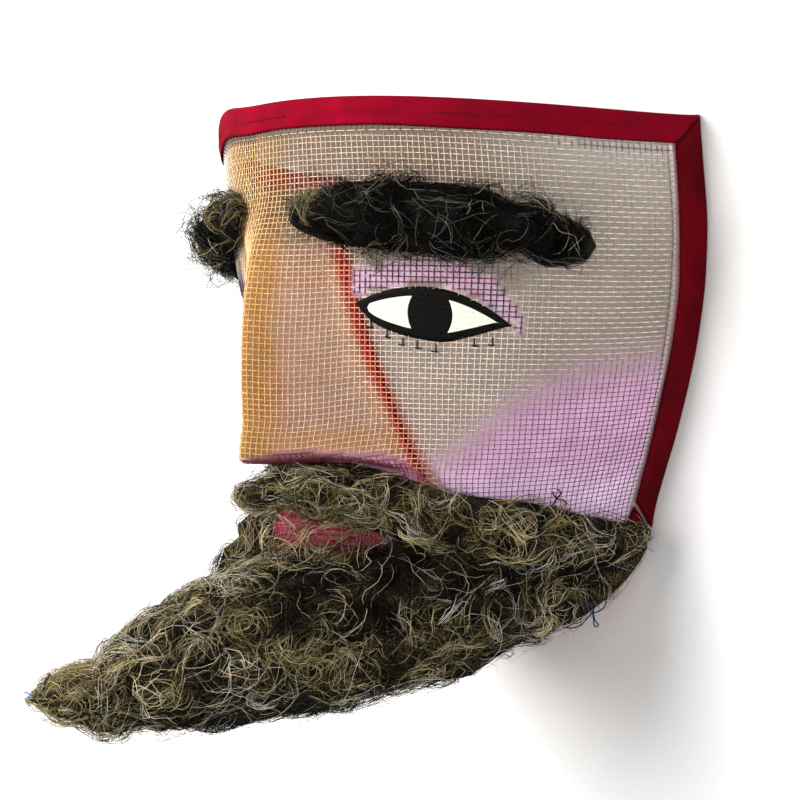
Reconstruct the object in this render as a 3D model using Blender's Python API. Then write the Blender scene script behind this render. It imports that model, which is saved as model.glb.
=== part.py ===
"""Festival face mask of painted wire cloth, with a bound rim and sewn-on hair.

Lengths are in metres. The mask lies face up on its back rim: +X is the wearer's left,
+Y runs up the forehead and +Z points out of the face. Most places on the mask are given
by two numbers: a column share, 0 on the centre line and -1 or 1 on the side rims, and a
level, the distance below the top corners.
"""

import math

import bmesh
import bpy
import numpy as np

# Driving sizes of the face
TOP_CORNER_Y = 0.0673
JAW_LEVEL = 0.1138
CHIN_LEVEL = 0.1508
JAW_EXPONENT = 2.2
CLOTH_THICKNESS = 0.0008
FIT_GAP = 0.0003
FLAT_TOLERANCE = 0.0002
TAPE_THICKNESS = 0.0008
TAPE_WIDTH = 0.0087
TAPE_SHARE = 0.0625

# Section of the face: a rounded arch, a pulled nose and a pulled mouth and chin
FRONT_EXPONENT = 1.8
SIDE_EXPONENT = 2.2
NOSE_RIDGE_ROUNDING = 0.10
NOSE_FOOT_ROUNDING = 0.10
NOSE_TIP_LEVEL = 0.1003
NOSE_UNDERSIDE = 0.0045
NOSTRIL_LIFT = 0.0045
MOUTH_HALF_WIDTH = 0.031
BROW_ARCH_EXPONENT = 1.6
CHEEK_SAG = 0.005
CHEEK_SAG_FROM = 0.025
CHEEK_SAG_OVER = 0.070
CHEEK_INNER_SHARE = 0.15
ARC_STEPS = 240
FRAME_STEP = 0.0006

# Level, half width, arch depth, centre line Y, nose height, nose half width, mouth height
FACE_LEVELS = np.array([
    (0.0000, 0.0902, 0.0836, 0.0854, 0.0003, 0.0340, 0.0000),
    (0.0238, 0.0895, 0.0842, 0.0619, 0.0022, 0.0320, 0.0000),
    (0.0418, 0.0866, 0.0840, 0.0429, 0.0095, 0.0220, 0.0000),
    (0.0588, 0.0811, 0.0818, 0.0259, 0.0165, 0.0190, 0.0000),
    (0.0738, 0.0746, 0.0788, 0.0109, 0.0220, 0.0190, 0.0000),
    (0.0868, 0.0677, 0.0752, -0.0021, 0.0266, 0.0220, 0.0000),
    (0.0988, 0.0605, 0.0722, -0.0136, 0.0298, 0.0270, 0.0020),
    (0.1088, 0.0548, 0.0704, -0.0231, 0.0295, 0.0260, 0.0090),
    (0.1198, 0.0506, 0.0690, -0.0341, 0.0290, 0.0240, 0.0175),
    (0.1338, 0.0462, 0.0675, -0.0491, 0.0290, 0.0240, 0.0200),
    (0.1508, 0.0420, 0.0640, -0.0661, 0.0290, 0.0240, 0.0200),
    (0.1768, 0.0380, 0.0550, -0.0911, 0.0290, 0.0240, 0.0180),
])

# Hair, sewn on clear of the cloth and of the tape
HAIR_CLEARANCE = 0.0021
ROLL_EXPONENT = 0.8
BROW_SHARES = (0.095, 0.750)
BROW_HALF_HEIGHT = 0.0095
BROW_RISE = 0.0125
LEFT_BROW_LEVEL = 0.0318
RIGHT_BROW_LEVEL = 0.0283
BROW_TAIL_DROP = 0.0020
BROW_STATIONS = 15
MOUSTACHE_SHARE = 0.955
MOUSTACHE_LEVEL = 0.1112
MOUSTACHE_MID_HALF_HEIGHT = 0.0052
MOUSTACHE_SIDE_HALF_HEIGHT = 0.0092
MOUSTACHE_MID_RISE = 0.0190
MOUSTACHE_END_RISE = 0.0115
MOUSTACHE_STATIONS = 29
BEARD_SHARE = 0.985
BEARD_MID_TOP = 0.1293
BEARD_MOUTH_DROP = 0.0070
BEARD_EAR_DROP = 0.0040
BEARD_RISE = 0.0125
BEARD_OVERHANG = 0.0190
CHIN_POINT = (0.0, -0.0664)
CHIN_RADII = (0.035, 0.0255)
BEARD_REACH = (0.0, -0.0035, 0.0825)
BEARD_TAPER = 1.8

COLOURS = {
    "wire_cloth": (0.74, 0.62, 0.44, 0.45, 0.35),
    "velvet_tape": (0.42, 0.01, 0.04, 0.85, 0.0),
    "dark_hair": (0.05, 0.04, 0.03, 0.80, 0.0),
    "beard_hair": (0.16, 0.12, 0.06, 0.85, 0.0),
}


def clear_scene():
    for item in list(bpy.data.objects):
        bpy.data.objects.remove(item, do_unlink=True)


def material(name):
    """A plain Principled material with the piece's colour, roughness and metallic value."""
    red, green, blue, roughness, metallic = COLOURS[name]
    made = bpy.data.materials.new(name)
    made.use_nodes = True
    shader = made.node_tree.nodes["Principled BSDF"]
    shader.inputs["Base Color"].default_value = (red, green, blue, 1.0)
    shader.inputs["Roughness"].default_value = roughness
    shader.inputs["Metallic"].default_value = metallic
    return made


def smooth_step(value):
    value = np.clip(value, 0.0, 1.0)
    return value * value * (3.0 - 2.0 * value)


def monotone_slopes(places, heights):
    """Slopes of a curve through the points that never overshoots between them."""
    gaps = np.diff(places)
    rises = np.diff(heights) / gaps
    slopes = np.zeros(len(places))
    slopes[0], slopes[-1] = rises[0], rises[-1]
    for i in range(1, len(places) - 1):
        if rises[i - 1] * rises[i] > 0.0:
            before = 2.0 * gaps[i] + gaps[i - 1]
            after = gaps[i] + 2.0 * gaps[i - 1]
            slopes[i] = (before + after) / (before / rises[i - 1] + after / rises[i])
    return slopes


LEVEL_SLOPES = [monotone_slopes(FACE_LEVELS[:, 0], FACE_LEVELS[:, i]) for i in range(1, 7)]


def face_size(column, level):
    """One column of FACE_LEVELS, read smoothly at any level."""
    places = FACE_LEVELS[:, 0]
    heights = FACE_LEVELS[:, column]
    slopes = LEVEL_SLOPES[column - 1]
    i = int(np.clip(np.searchsorted(places, level) - 1, 0, len(places) - 2))
    gap = places[i + 1] - places[i]
    s = (level - places[i]) / gap
    start = (1 + 2 * s) * (1 - s) ** 2 * heights[i] + s * (1 - s) ** 2 * gap * slopes[i]
    end = s * s * (3 - 2 * s) * heights[i + 1] - s * s * (1 - s) * gap * slopes[i + 1]
    return start + end


def nose_profile(reach):
    """Height share of the nose at a share of its half width: a round ridge and a soft foot."""
    rounded = np.sqrt(reach * reach + NOSE_RIDGE_ROUNDING ** 2) - NOSE_RIDGE_ROUNDING
    full = math.sqrt(1.0 + NOSE_RIDGE_ROUNDING ** 2) - NOSE_RIDGE_ROUNDING
    wall = 1.0 - rounded / full
    return 0.5 * (wall + np.sqrt(wall * wall + NOSE_FOOT_ROUNDING ** 2))


def section(turn, level):
    """X and Z of the face at a level, for turns from 0 at the centre line to 1 at the rim."""
    angle = turn * math.pi / 2.0
    half_width, depth, nose, nose_half, mouth = (face_size(i, level) for i in (1, 2, 4, 5, 6))
    x = half_width * np.sin(angle) ** (2.0 / FRONT_EXPONENT)
    z = depth * np.cos(angle) ** (2.0 / SIDE_EXPONENT)
    reach = x / nose_half
    lowered = level + NOSTRIL_LIFT * reach ** 2 - NOSE_TIP_LEVEL
    kept = 1.0 - smooth_step(lowered / NOSE_UNDERSIDE)
    bulge = np.clip(1.0 - (x / MOUTH_HALF_WIDTH) ** 2, 0.0, 1.0) ** 2
    return x, z + nose * kept * nose_profile(reach) + mouth * bulge


TURNS = np.linspace(0.0, 1.0, ARC_STEPS + 1)


def arc_shares(level):
    x, z = section(TURNS, level)
    arc = np.concatenate([[0.0], np.cumsum(np.hypot(np.diff(x), np.diff(z)))])
    return arc / arc[-1]


KEPT_LEVEL = 0.0978
KEPT_FADE = 0.060
KEPT_SHARES = arc_shares(KEPT_LEVEL)


def turn_of(share, level):
    """The turn at which a wire of this column share crosses this level."""
    even = np.interp(share, arc_shares(level), TURNS)
    if level <= KEPT_LEVEL:
        return even
    kept = np.interp(share, KEPT_SHARES, TURNS)
    return kept + (even - kept) * smooth_step((level - KEPT_LEVEL) / KEPT_FADE)


def face_point(share, level):
    """Point of the middle of the cloth."""
    side = abs(share)
    x, z = section(turn_of(side, level), level)
    rim_y = TOP_CORNER_Y - level
    y = rim_y + (face_size(3, level) - rim_y) * math.cos(side * math.pi / 2.0) ** BROW_ARCH_EXPONENT
    deep = CHEEK_SAG * np.clip((level - CHEEK_SAG_FROM) / CHEEK_SAG_OVER, 0.0, 1.0) ** 1.3
    across = np.clip((side - CHEEK_INNER_SHARE) / (1.0 - CHEEK_INNER_SHARE), 0.0, 1.0) ** 0.9
    y -= deep * math.sin(math.pi * across) ** 1.5
    return np.array((math.copysign(float(x), share), float(y), float(z) + FIT_GAP + TAPE_THICKNESS))


def face_frame(share, level):
    """Point, outward normal and unit step down the column."""
    inner, outer = max(share - FRAME_STEP * 6.0, -1.0), min(share + FRAME_STEP * 6.0, 1.0)
    across = face_point(outer, level) - face_point(inner, level)
    down = face_point(share, level + FRAME_STEP) - face_point(share, max(level - FRAME_STEP, 0.0))
    normal = np.cross(down, across)
    return face_point(share, level), normal / np.linalg.norm(normal), down / np.linalg.norm(down)


def lower_edge(share):
    """Level at which the cloth is cut off along the jaw."""
    curve = math.sqrt(max(0.0, 1.0 - abs(share) ** JAW_EXPONENT))
    return JAW_LEVEL + (CHIN_LEVEL - JAW_LEVEL) * curve


def make_object(name, vertices, faces, colour):
    """A closed mesh object with its normals outward and its soft edges shaded smooth."""
    mesh = bpy.data.meshes.new(name)
    work = bmesh.new()
    made = [work.verts.new(v) for v in vertices]
    for face in faces:
        corners = [made[i] for i in dict.fromkeys(face)]
        if len(corners) > 2 and not work.faces.get(corners):
            work.faces.new(corners)
    bmesh.ops.remove_doubles(work, verts=work.verts, dist=1e-7)
    bmesh.ops.triangulate(work, faces=work.faces)
    bmesh.ops.recalc_face_normals(work, faces=work.faces)
    if work.calc_volume(signed=True) < 0.0:
        bmesh.ops.reverse_faces(work, faces=work.faces)
    work.to_mesh(mesh)
    work.free()
    mesh.shade_smooth()
    mesh.set_sharp_from_angle(angle=math.radians(40.0))
    mesh.materials.append(colour)
    made_object = bpy.data.objects.new(name, mesh)
    bpy.context.scene.collection.objects.link(made_object)
    return made_object


def ring_faces(first, second, closed=True):
    """Quads between two runs of vertex numbers."""
    count = len(first)
    last = count if closed else count - 1
    return [(first[i], first[(i + 1) % count], second[(i + 1) % count], second[i]) for i in range(last)]


def mirrored(shares):
    return [-s for s in reversed(shares) if s > 0.0] + list(shares)


# Columns are close together over the nose, rows over its underside
CLOTH_COLUMNS = mirrored(
    [0.0, 0.018, 0.040, 0.065, 0.092, 0.120, 0.150, 0.182, 0.215, 0.250, 0.300, 0.360, 0.430,
     0.500, 0.570, 0.640, 0.710, 0.780, 0.840, 0.892, 1.0 - TAPE_SHARE, 1.0])
CLOTH_ROWS = [TAPE_WIDTH, 0.018, 0.027, 0.036, 0.045, 0.053, 0.061, 0.069, 0.077, 0.085, 0.092,
              0.0963, 0.0996, 0.1013, 0.1028, 0.1044, 0.1063, 0.1108, 0.1168, 0.1248, 0.1338,
              CHIN_LEVEL - TAPE_WIDTH]


def cloth_grid():
    """Frames of the cloth, row by row. The first and last row and column lie on its edge."""
    span = CHIN_LEVEL - 2.0 * TAPE_WIDTH
    grid = []
    for row in [None] + CLOTH_ROWS + [None]:
        line = []
        for share in CLOTH_COLUMNS:
            end = lower_edge(share)
            if row is None:
                level = end if grid else 0.0
            else:
                level = TAPE_WIDTH + (row - TAPE_WIDTH) * (end - 2.0 * TAPE_WIDTH) / span
            line.append(face_frame(share, level)[:2])
        grid.append(line)
    return grid


def edge_loop(rows, columns):
    """Grid places round the edge, each with the place one cell further in."""
    loop = [(0, j) for j in range(columns)]
    loop += [(i, columns - 1) for i in range(1, rows)]
    loop += [(rows - 1, j) for j in range(columns - 2, -1, -1)]
    loop += [(i, 0) for i in range(rows - 2, 0, -1)]
    inner = [(min(max(i, 1), rows - 2), min(max(j, 1), columns - 2)) for i, j in loop]
    return loop, inner


def build_cloth(grid, colour):
    rows, columns = len(grid), len(grid[0])
    half = CLOTH_THICKNESS / 2.0
    front = [p + n * half for line in grid for p, n in line]
    back = [p - n * half for line in grid for p, n in line]
    count = rows * columns
    faces = []
    for i in range(rows - 1):
        for j in range(columns - 1):
            quad = (i * columns + j, i * columns + j + 1, (i + 1) * columns + j + 1, (i + 1) * columns + j)
            faces.append(quad)
            faces.append(tuple(k + count for k in reversed(quad)))
    loop, _ = edge_loop(rows, columns)
    rim = [i * columns + j for i, j in loop]
    faces += ring_faces(rim, [k + count for k in rim])
    return make_object("wire_mesh_face", front + back, faces, colour)


def outward_step(grid, place):
    """Unit step out of the cloth across its edge. The side rims stand square on the floor."""
    i, j = place
    rows, columns = len(grid), len(grid[0])
    step = np.zeros(3)
    if j in (0, columns - 1):
        step += (0.0, 0.0, -1.0)
    if i in (0, rows - 1):
        inside = grid[1][j][0] if i == 0 else grid[rows - 2][j][0]
        away = grid[i][j][0] - inside
        away /= np.linalg.norm(away)
        step += away
    return step


def build_binding(grid, colour):
    """Tape folded over the whole edge of the cloth, its two legs clear of it."""
    rows, columns = len(grid), len(grid[0])
    near = CLOTH_THICKNESS / 2.0 + FIT_GAP
    far = near + TAPE_THICKNESS
    loop, inner = edge_loop(rows, columns)
    vertices = []
    rings = []
    for place, inside in zip(loop, inner):
        point, normal = grid[place[0]][place[1]]
        leg, leg_normal = grid[inside[0]][inside[1]]
        out = outward_step(grid, place)
        start = len(vertices)
        vertices += [
            leg + leg_normal * near,
            leg + leg_normal * far,
            point + normal * far + out * (FIT_GAP + TAPE_THICKNESS),
            point - normal * far + out * (FIT_GAP + TAPE_THICKNESS),
            leg - leg_normal * far,
            leg - leg_normal * near,
            point - normal * near + out * FIT_GAP,
            point + normal * near + out * FIT_GAP,
        ]
        rings.append(list(range(start, start + 8)))
    shared = {}
    for ring, inside in zip(rings, inner):
        first = shared.setdefault(inside, ring)
        for k in (0, 1, 4, 5):
            ring[k] = first[k]
    faces = []
    for ring, following in zip(rings, rings[1:] + rings[:1]):
        faces += ring_faces(ring, following)
    used = sorted({k for face in faces for k in face})
    renumber = {k: n for n, k in enumerate(used)}
    faces = [tuple(renumber[k] for k in face) for face in faces]
    flat = [vertices[k].copy() for k in used]
    for vertex in flat:
        if abs(vertex[2]) < FLAT_TOLERANCE:
            vertex[2] = 0.0
    return make_object("edge_binding", flat, faces, colour)


def hair_roll(name, stations, colour, crown_points=7, foot_points=3):
    """A roll of hair lying on the face.

    Each station is a column share, a middle level, a half height down the face and a rise
    out of it.
    """
    vertices = []
    rings = []
    for share, level, half_height, rise in stations:
        ring = []
        around = [k * math.pi / (crown_points - 1) for k in range(crown_points)]
        around += [math.pi * (1.0 + (k + 1) / (foot_points + 1)) for k in range(foot_points)]
        for angle in around:
            point, normal, _ = face_frame(share, level - half_height * math.cos(angle))
            straight_out = np.array((normal[0], 0.0, normal[2])) / math.hypot(normal[0], normal[2])
            stand = rise * max(0.0, math.sin(angle)) ** ROLL_EXPONENT
            ring.append(len(vertices))
            vertices.append(point + normal * HAIR_CLEARANCE + straight_out * stand)
        rings.append(ring)
    faces = [tuple(rings[0]), tuple(reversed(rings[-1]))]
    for ring, following in zip(rings, rings[1:]):
        faces += ring_faces(ring, following)
    return make_object(name, vertices, faces, colour)


def rounded_end(place, power=4.0):
    """Share of the full girth at a place from -1 to 1 along a roll."""
    return (1.0 - abs(place) ** power) ** 0.5


def brow_stations(side, middle_level):
    """Stations of one brow, which drops a little at its outer end."""
    start, end = BROW_SHARES
    stations = []
    for place in np.linspace(-0.97, 0.97, BROW_STATIONS):
        share = start + (end - start) * (place + 1.0) / 2.0
        girth = rounded_end(place)
        level = middle_level + BROW_TAIL_DROP * max(0.0, place) ** 2
        stations.append((side * share, level, BROW_HALF_HEIGHT * girth, BROW_RISE * girth))
    return stations


def moustache_stations():
    stations = []
    for place in np.linspace(-0.985, 0.985, MOUSTACHE_STATIONS):
        share = MOUSTACHE_SHARE * place
        girth = rounded_end(place, 8.0)
        rise = MOUSTACHE_END_RISE + (MOUSTACHE_MID_RISE - MOUSTACHE_END_RISE) * (
            1.0 - smooth_step(abs(share) / 0.40))
        half = MOUSTACHE_MID_HALF_HEIGHT + (MOUSTACHE_SIDE_HALF_HEIGHT - MOUSTACHE_MID_HALF_HEIGHT) * (
            smooth_step((abs(share) - 0.12) / 0.22))
        half *= 1.0 - 0.40 * smooth_step((abs(share) - 0.60) / 0.35)
        stations.append((share, MOUSTACHE_LEVEL, half * girth, rise * girth))
    return stations


BEARD_COLUMNS = mirrored([0.0, 0.035, 0.070, 0.110, 0.155, 0.205, 0.260, 0.320, 0.390, 0.470, 0.560,
                          0.650, 0.740, 0.820, 0.890, 0.945, BEARD_SHARE])
BEARD_ROWS = [k / 12.0 for k in range(13)]


def beard_top(share):
    """Level of the beard's upper edge: under the mouth, then close under the moustache."""
    side = abs(share)
    beside_mouth = BEARD_MOUTH_DROP * smooth_step((side - 0.12) / 0.30)
    near_ear = BEARD_EAR_DROP * smooth_step((side - 0.6) / 0.3)
    return BEARD_MID_TOP - beside_mouth - near_ear


def build_beard(colour):
    """A pad of hair over the jaw, drawn out forward from the chin to a point."""
    columns, rows = len(BEARD_COLUMNS), len(BEARD_ROWS)
    inner = []
    outer = []
    for share in BEARD_COLUMNS:
        top = beard_top(share)
        low = lower_edge(share) + BEARD_OVERHANG * (1.0 - 0.95 * abs(share)) ** 1.5
        along = rounded_end(share / BEARD_SHARE, 10.0)
        for row in BEARD_ROWS:
            point, normal, _ = face_frame(share, top + (low - top) * row)
            foot = point + normal * HAIR_CLEARANCE
            swell = math.sin(math.pi * row) ** 0.65 * along
            across = (point[0] - CHIN_POINT[0]) / CHIN_RADII[0]
            down = (point[1] - CHIN_POINT[1]) / CHIN_RADII[1]
            reach = max(0.0, 1.0 - math.hypot(across, down) ** BEARD_TAPER) * min(1.0, 4.0 * swell)
            inner.append(foot)
            outer.append(foot + normal * BEARD_RISE * swell + np.array(BEARD_REACH) * reach)
    count = columns * rows
    edge = {j * rows + i for j in range(columns) for i in range(rows)
            if i in (0, rows - 1) or j in (0, columns - 1)}
    faces = []
    for j in range(columns - 1):
        for i in range(rows - 1):
            quad = (j * rows + i, (j + 1) * rows + i, (j + 1) * rows + i + 1, j * rows + i + 1)
            faces.append(quad)
            faces.append(tuple(k if k in edge else k + count for k in reversed(quad)))
    return make_object("beard", inner + outer, faces, colour)


def main():
    clear_scene()
    grid = cloth_grid()
    hair = material("dark_hair")
    build_cloth(grid, material("wire_cloth"))
    build_binding(grid, material("velvet_tape"))
    hair_roll("eyebrow_left", brow_stations(1.0, LEFT_BROW_LEVEL), hair)
    hair_roll("eyebrow_right", brow_stations(-1.0, RIGHT_BROW_LEVEL), hair.copy())
    hair_roll("moustache", moustache_stations(), hair.copy())
    build_beard(material("beard_hair"))


main()
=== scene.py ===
"""Looks of a festival face mask: painted wire cloth, a taped edge and sewn-on hair.

The mask lies face up on its back rim on a pale floor, and the camera looks down at it from
the wearer's upper left. Lengths are in metres: +X is the wearer's left, +Y runs up the
forehead and +Z points out of the face. A place on the face is given by a column share, 0 on
the centre line and 1 or -1 on the side rims, and a level, the distance below the top corners.
"""

import logging
import math
from collections.abc import Callable
from dataclasses import dataclass
from enum import Enum

import bpy
import numpy as np
from mathutils import Matrix, Vector
from mathutils.bvhtree import BVHTree


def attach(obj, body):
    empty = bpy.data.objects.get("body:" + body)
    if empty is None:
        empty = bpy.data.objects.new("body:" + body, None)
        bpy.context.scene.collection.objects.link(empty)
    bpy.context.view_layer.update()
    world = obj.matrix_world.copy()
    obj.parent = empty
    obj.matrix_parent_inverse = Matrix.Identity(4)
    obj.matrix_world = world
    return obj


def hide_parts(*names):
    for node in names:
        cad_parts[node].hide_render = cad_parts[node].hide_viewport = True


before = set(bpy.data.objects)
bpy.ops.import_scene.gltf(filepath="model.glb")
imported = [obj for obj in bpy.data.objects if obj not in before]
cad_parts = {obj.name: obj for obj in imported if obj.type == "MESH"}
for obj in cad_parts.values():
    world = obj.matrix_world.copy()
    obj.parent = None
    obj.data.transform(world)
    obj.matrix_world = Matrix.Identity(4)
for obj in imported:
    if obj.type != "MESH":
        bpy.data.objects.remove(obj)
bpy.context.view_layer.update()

LOG = logging.getLogger("mask")
MM = 0.001
# The cloth on each side of its centre line: its width, its wires and the last share they reach
HALF_CLOTH = 0.139
WIRES_A_SIDE = 77
CLOTH_END_SHARE = 0.998
# The tape's inner edge, as a share at the sides and as a height at the top
TAPE_SHARE = 0.0625
TOP_TAPE_HEIGHT = 0.0072
# A paint film's pitch of wires, and how far it reaches behind the middle of the cloth
FILM_ROW = 0.00155
FILM_BACK = 0.00030

Array = np.ndarray
Colour = tuple[float, float, float]
Spot = tuple[float, float, float]
Curve = tuple[tuple[float, float], ...]
Curved = Callable[[Array], Array]
Finish = bpy.types.Material
Patches = tuple[tuple[Spot, float], ...]
Piece = bpy.types.Object
Rng = np.random.Generator


# Small tools


def linear(code: str) -> Colour:
    """Turns an sRGB hex colour into linear light.

    Args:
        code: Six hex digits, with or without a leading hash.

    Returns:
        Red, green and blue from 0 to 1.
    """
    digits = code.lstrip("#")
    parts = [int(digits[i:i + 2], 16) / 255.0 for i in (0, 2, 4)]
    red, green, blue = (p / 12.92 if p <= 0.04045 else ((p + 0.055) / 1.055) ** 2.4 for p in parts)
    return red, green, blue


def per(size_mm: float) -> float:
    """Scale of a pattern whose real size is given in millimetres."""
    return 1.0 / (size_mm * MM)


def smooth_step(value: Array | float) -> Array:
    """Eases a value from 0 to 1, flat at both ends."""
    value = np.clip(value, 0.0, 1.0)
    return value * value * (3.0 - 2.0 * value)


def unit(vectors: Array) -> Array:
    """Scales vectors in the last axis to length 1."""
    return vectors / np.maximum(np.linalg.norm(vectors, axis=-1, keepdims=True), 1e-12)


def hermite(places: Array, heights: Array, slopes: Array, at: Array) -> Array:
    """Reads a cubic curve through points whose slopes are known.

    Args:
        places: Places in rising order.
        heights: Height at each place.
        slopes: Slope at each place.
        at: Places to read.

    Returns:
        The heights there.
    """
    gaps = np.diff(places)
    i = np.clip(np.searchsorted(places, at) - 1, 0, len(places) - 2)
    s = np.clip((at - places[i]) / gaps[i], 0.0, 1.0)
    start = (1 + 2 * s) * (1 - s) ** 2 * heights[i] + s * (1 - s) ** 2 * gaps[i] * slopes[i]
    end = s * s * (3 - 2 * s) * heights[i + 1] - s * s * (1 - s) * gaps[i] * slopes[i + 1]
    return start + end


def through(points: Curve, at: Array) -> Array:
    """Reads a smooth curve through a few (place, height) points.

    Args:
        points: Places in rising order, with their heights.
        at: Places to read.

    Returns:
        The heights there.
    """
    places, heights = np.array(points).T
    rises = np.diff(heights) / np.diff(places)
    slopes = np.concatenate([[rises[0]], (rises[1:] + rises[:-1]) / 2.0, [rises[-1]]])
    return hermite(places, heights, slopes, at)


def wander(rng: Rng, count: int, width: int) -> Array:
    """A seeded random walk that drifts smoothly.

    Args:
        rng: Source of the numbers.
        count: How many values.
        width: Values over which it stays alike.

    Returns:
        Values with a spread of about 1.
    """
    raw = rng.normal(size=count + 4 * width)
    bell = np.exp(-0.5 * (np.arange(-2 * width, 2 * width + 1) / max(width, 1)) ** 2)
    drift = np.convolve(raw, bell / np.sqrt((bell ** 2).sum()), mode="same")
    return drift[2 * width:2 * width + count]


def mesh_piece(name: str, vertices: Array, faces: Array) -> Piece:
    """Makes a piece from arrays, since wires and strands follow a surface worked out in code.

    Args:
        name: The piece's name.
        vertices: Points, in metres.
        faces: Vertex numbers of each triangle, or of each quad.

    Returns:
        The piece, at the origin and shaded smooth.
    """
    mesh = bpy.data.meshes.new(name)
    corners = faces.shape[1]
    mesh.vertices.add(len(vertices))
    mesh.vertices.foreach_set("co", np.asarray(vertices, np.float32).ravel())
    mesh.loops.add(faces.size)
    mesh.loops.foreach_set("vertex_index", faces.astype(np.int32).ravel())
    mesh.polygons.add(len(faces))
    mesh.polygons.foreach_set("loop_start", np.arange(0, faces.size, corners, dtype=np.int32))
    mesh.update(calc_edges=True)
    mesh.shade_smooth()
    piece = bpy.data.objects.new(name, mesh)
    bpy.context.scene.collection.objects.link(piece)
    return piece


def paint_points(piece: Piece, name: str, colours: Array) -> None:
    """Stores a linear colour at each point of a piece.

    Args:
        piece: The piece.
        name: The attribute's name, read by its material.
        colours: Red, green and blue of each point, and its cover if it has one.
    """
    attribute = piece.data.attributes.new(name, "FLOAT_COLOR", "POINT")
    filled = np.ones((len(piece.data.vertices), 4), np.float32)
    filled[:, :colours.shape[1]] = colours
    attribute.data.foreach_set("color", filled.ravel())


def tubes(paths: Array, sides: Array, radii: Array, corners: int,
          tapered: bool = False) -> tuple[Array, Array]:
    """Skins many runs of points as closed tubes, all with the same number of points.

    Args:
        paths: Points of each run, shaped (runs, points, 3).
        sides: A direction across each run at each point, shaped as paths.
        radii: Radius at each point, shaped (runs, points).
        corners: Corners of the tube's section.
        tapered: True to end each tube in a point.

    Returns:
        The vertices and the triangles.
    """
    runs, length = paths.shape[:2]
    tangents = unit(np.gradient(paths, axis=1))
    first = unit(sides - (sides * tangents).sum(-1, keepdims=True) * tangents)
    second = np.cross(tangents, first)
    angles = np.arange(corners) * 2.0 * math.pi / corners
    ring = first[:, :, None] * np.cos(angles)[:, None] + second[:, :, None] * np.sin(angles)[:, None]
    if tapered:
        radii = radii.copy()
        radii[:, -1] *= 0.15
    skin = paths[:, :, None] + ring * radii[:, :, None, None]
    vertices = skin.reshape(-1, 3)
    base = np.arange(runs)[:, None, None] * length * corners
    step = np.arange(length - 1)[None, :, None] * corners
    k = np.arange(corners)[None, None, :]
    following = (k + 1) % corners
    a, b = base + step + k, base + step + following
    c, d = b + corners, a + corners
    wall = np.stack([np.stack([a, b, c], -1), np.stack([a, c, d], -1)], -2).reshape(-1, 3)
    fan = np.arange(1, corners - 1)
    start = np.arange(runs)[:, None] * length * corners
    end = start + (length - 1) * corners
    near = np.stack([start + 0 * fan, start + fan + 1, start + fan], -1).reshape(-1, 3)
    far = np.stack([end + 0 * fan, end + fan, end + fan + 1], -1).reshape(-1, 3)
    return vertices, np.concatenate([wall, near, far])


def closed_grid(front: Array, back: Array) -> tuple[Array, Array]:
    """Joins two grids of points into one closed skin along their shared border.

    Args:
        front: Points of the outer side, shaped (rows, columns, 3).
        back: Points of the other side. Its border is dropped for the front's.

    Returns:
        The vertices, front first, and the quads, turned to face outward.
    """
    rows, columns = front.shape[:2]
    number = np.arange(rows * columns).reshape(rows, columns)
    inner = number.copy()
    inner[1:-1, 1:-1] = rows * columns + np.arange((rows - 2) * (columns - 2)).reshape(rows - 2, columns - 2)
    vertices = np.concatenate([front.reshape(-1, 3), back[1:-1, 1:-1].reshape(-1, 3)])

    def quads(grid: Array) -> Array:
        """Corners of each cell of a grid of vertex numbers."""
        return np.stack([grid[:-1, :-1], grid[:-1, 1:], grid[1:, 1:], grid[1:, :-1]], -1).reshape(-1, 4)

    faces = np.concatenate([quads(number), quads(inner)[:, ::-1]])
    a, b, c, d = (vertices[faces[:, k]] for k in range(4))
    volume = (np.cross(b - a, c - a) * a).sum() + (np.cross(c - a, d - a) * a).sum()
    return vertices, faces if volume > 0.0 else faces[:, ::-1]


def both_sides(values: Array) -> Array:
    """Values for the points of a closed grid whose back has the same value as its front."""
    return np.concatenate([side.reshape(-1, values.shape[-1]) for side in (values, values[1:-1, 1:-1])])


def map_points(piece: Piece, name: str, places: Array) -> None:
    """Gives a piece a UV map with one place for each of its points.

    Args:
        piece: The piece.
        name: The map's name.
        places: U and V of each point.
    """
    layer = piece.data.uv_layers.new(name=name)
    corners = np.empty(len(piece.data.loops), np.int32)
    piece.data.loops.foreach_get("vertex_index", corners)
    layer.data.foreach_set("uv", np.asarray(places, np.float32)[corners].ravel())


def weld(piece: Piece, reach: float = 1e-6) -> None:
    """Merges the points of a piece that lie on each other, as at the tip of an almond.

    Args:
        piece: The piece.
        reach: Most distance between points that merge.
    """
    bpy.ops.object.select_all(action="DESELECT")
    bpy.context.view_layer.objects.active = piece
    piece.select_set(True)
    bpy.ops.object.mode_set(mode="EDIT")
    bpy.ops.mesh.select_all(action="SELECT")
    bpy.ops.mesh.remove_doubles(threshold=reach)
    bpy.ops.mesh.dissolve_degenerate(threshold=reach)
    bpy.ops.object.mode_set(mode="OBJECT")
    piece.select_set(False)


def dress(piece: Piece, finish: Finish, slot: str, *replaced: str) -> Piece:
    """Gives a piece its finish and fixes it to the mask's one body.

    Args:
        piece: The piece.
        finish: Its material.
        slot: Not used.
        replaced: The CAD node that it stands for, if any.

    Returns:
        The piece.
    """
    piece.data.materials.append(finish)
    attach(piece, "root")
    if replaced:
        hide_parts(*replaced)
    return piece


# Finishes


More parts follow.
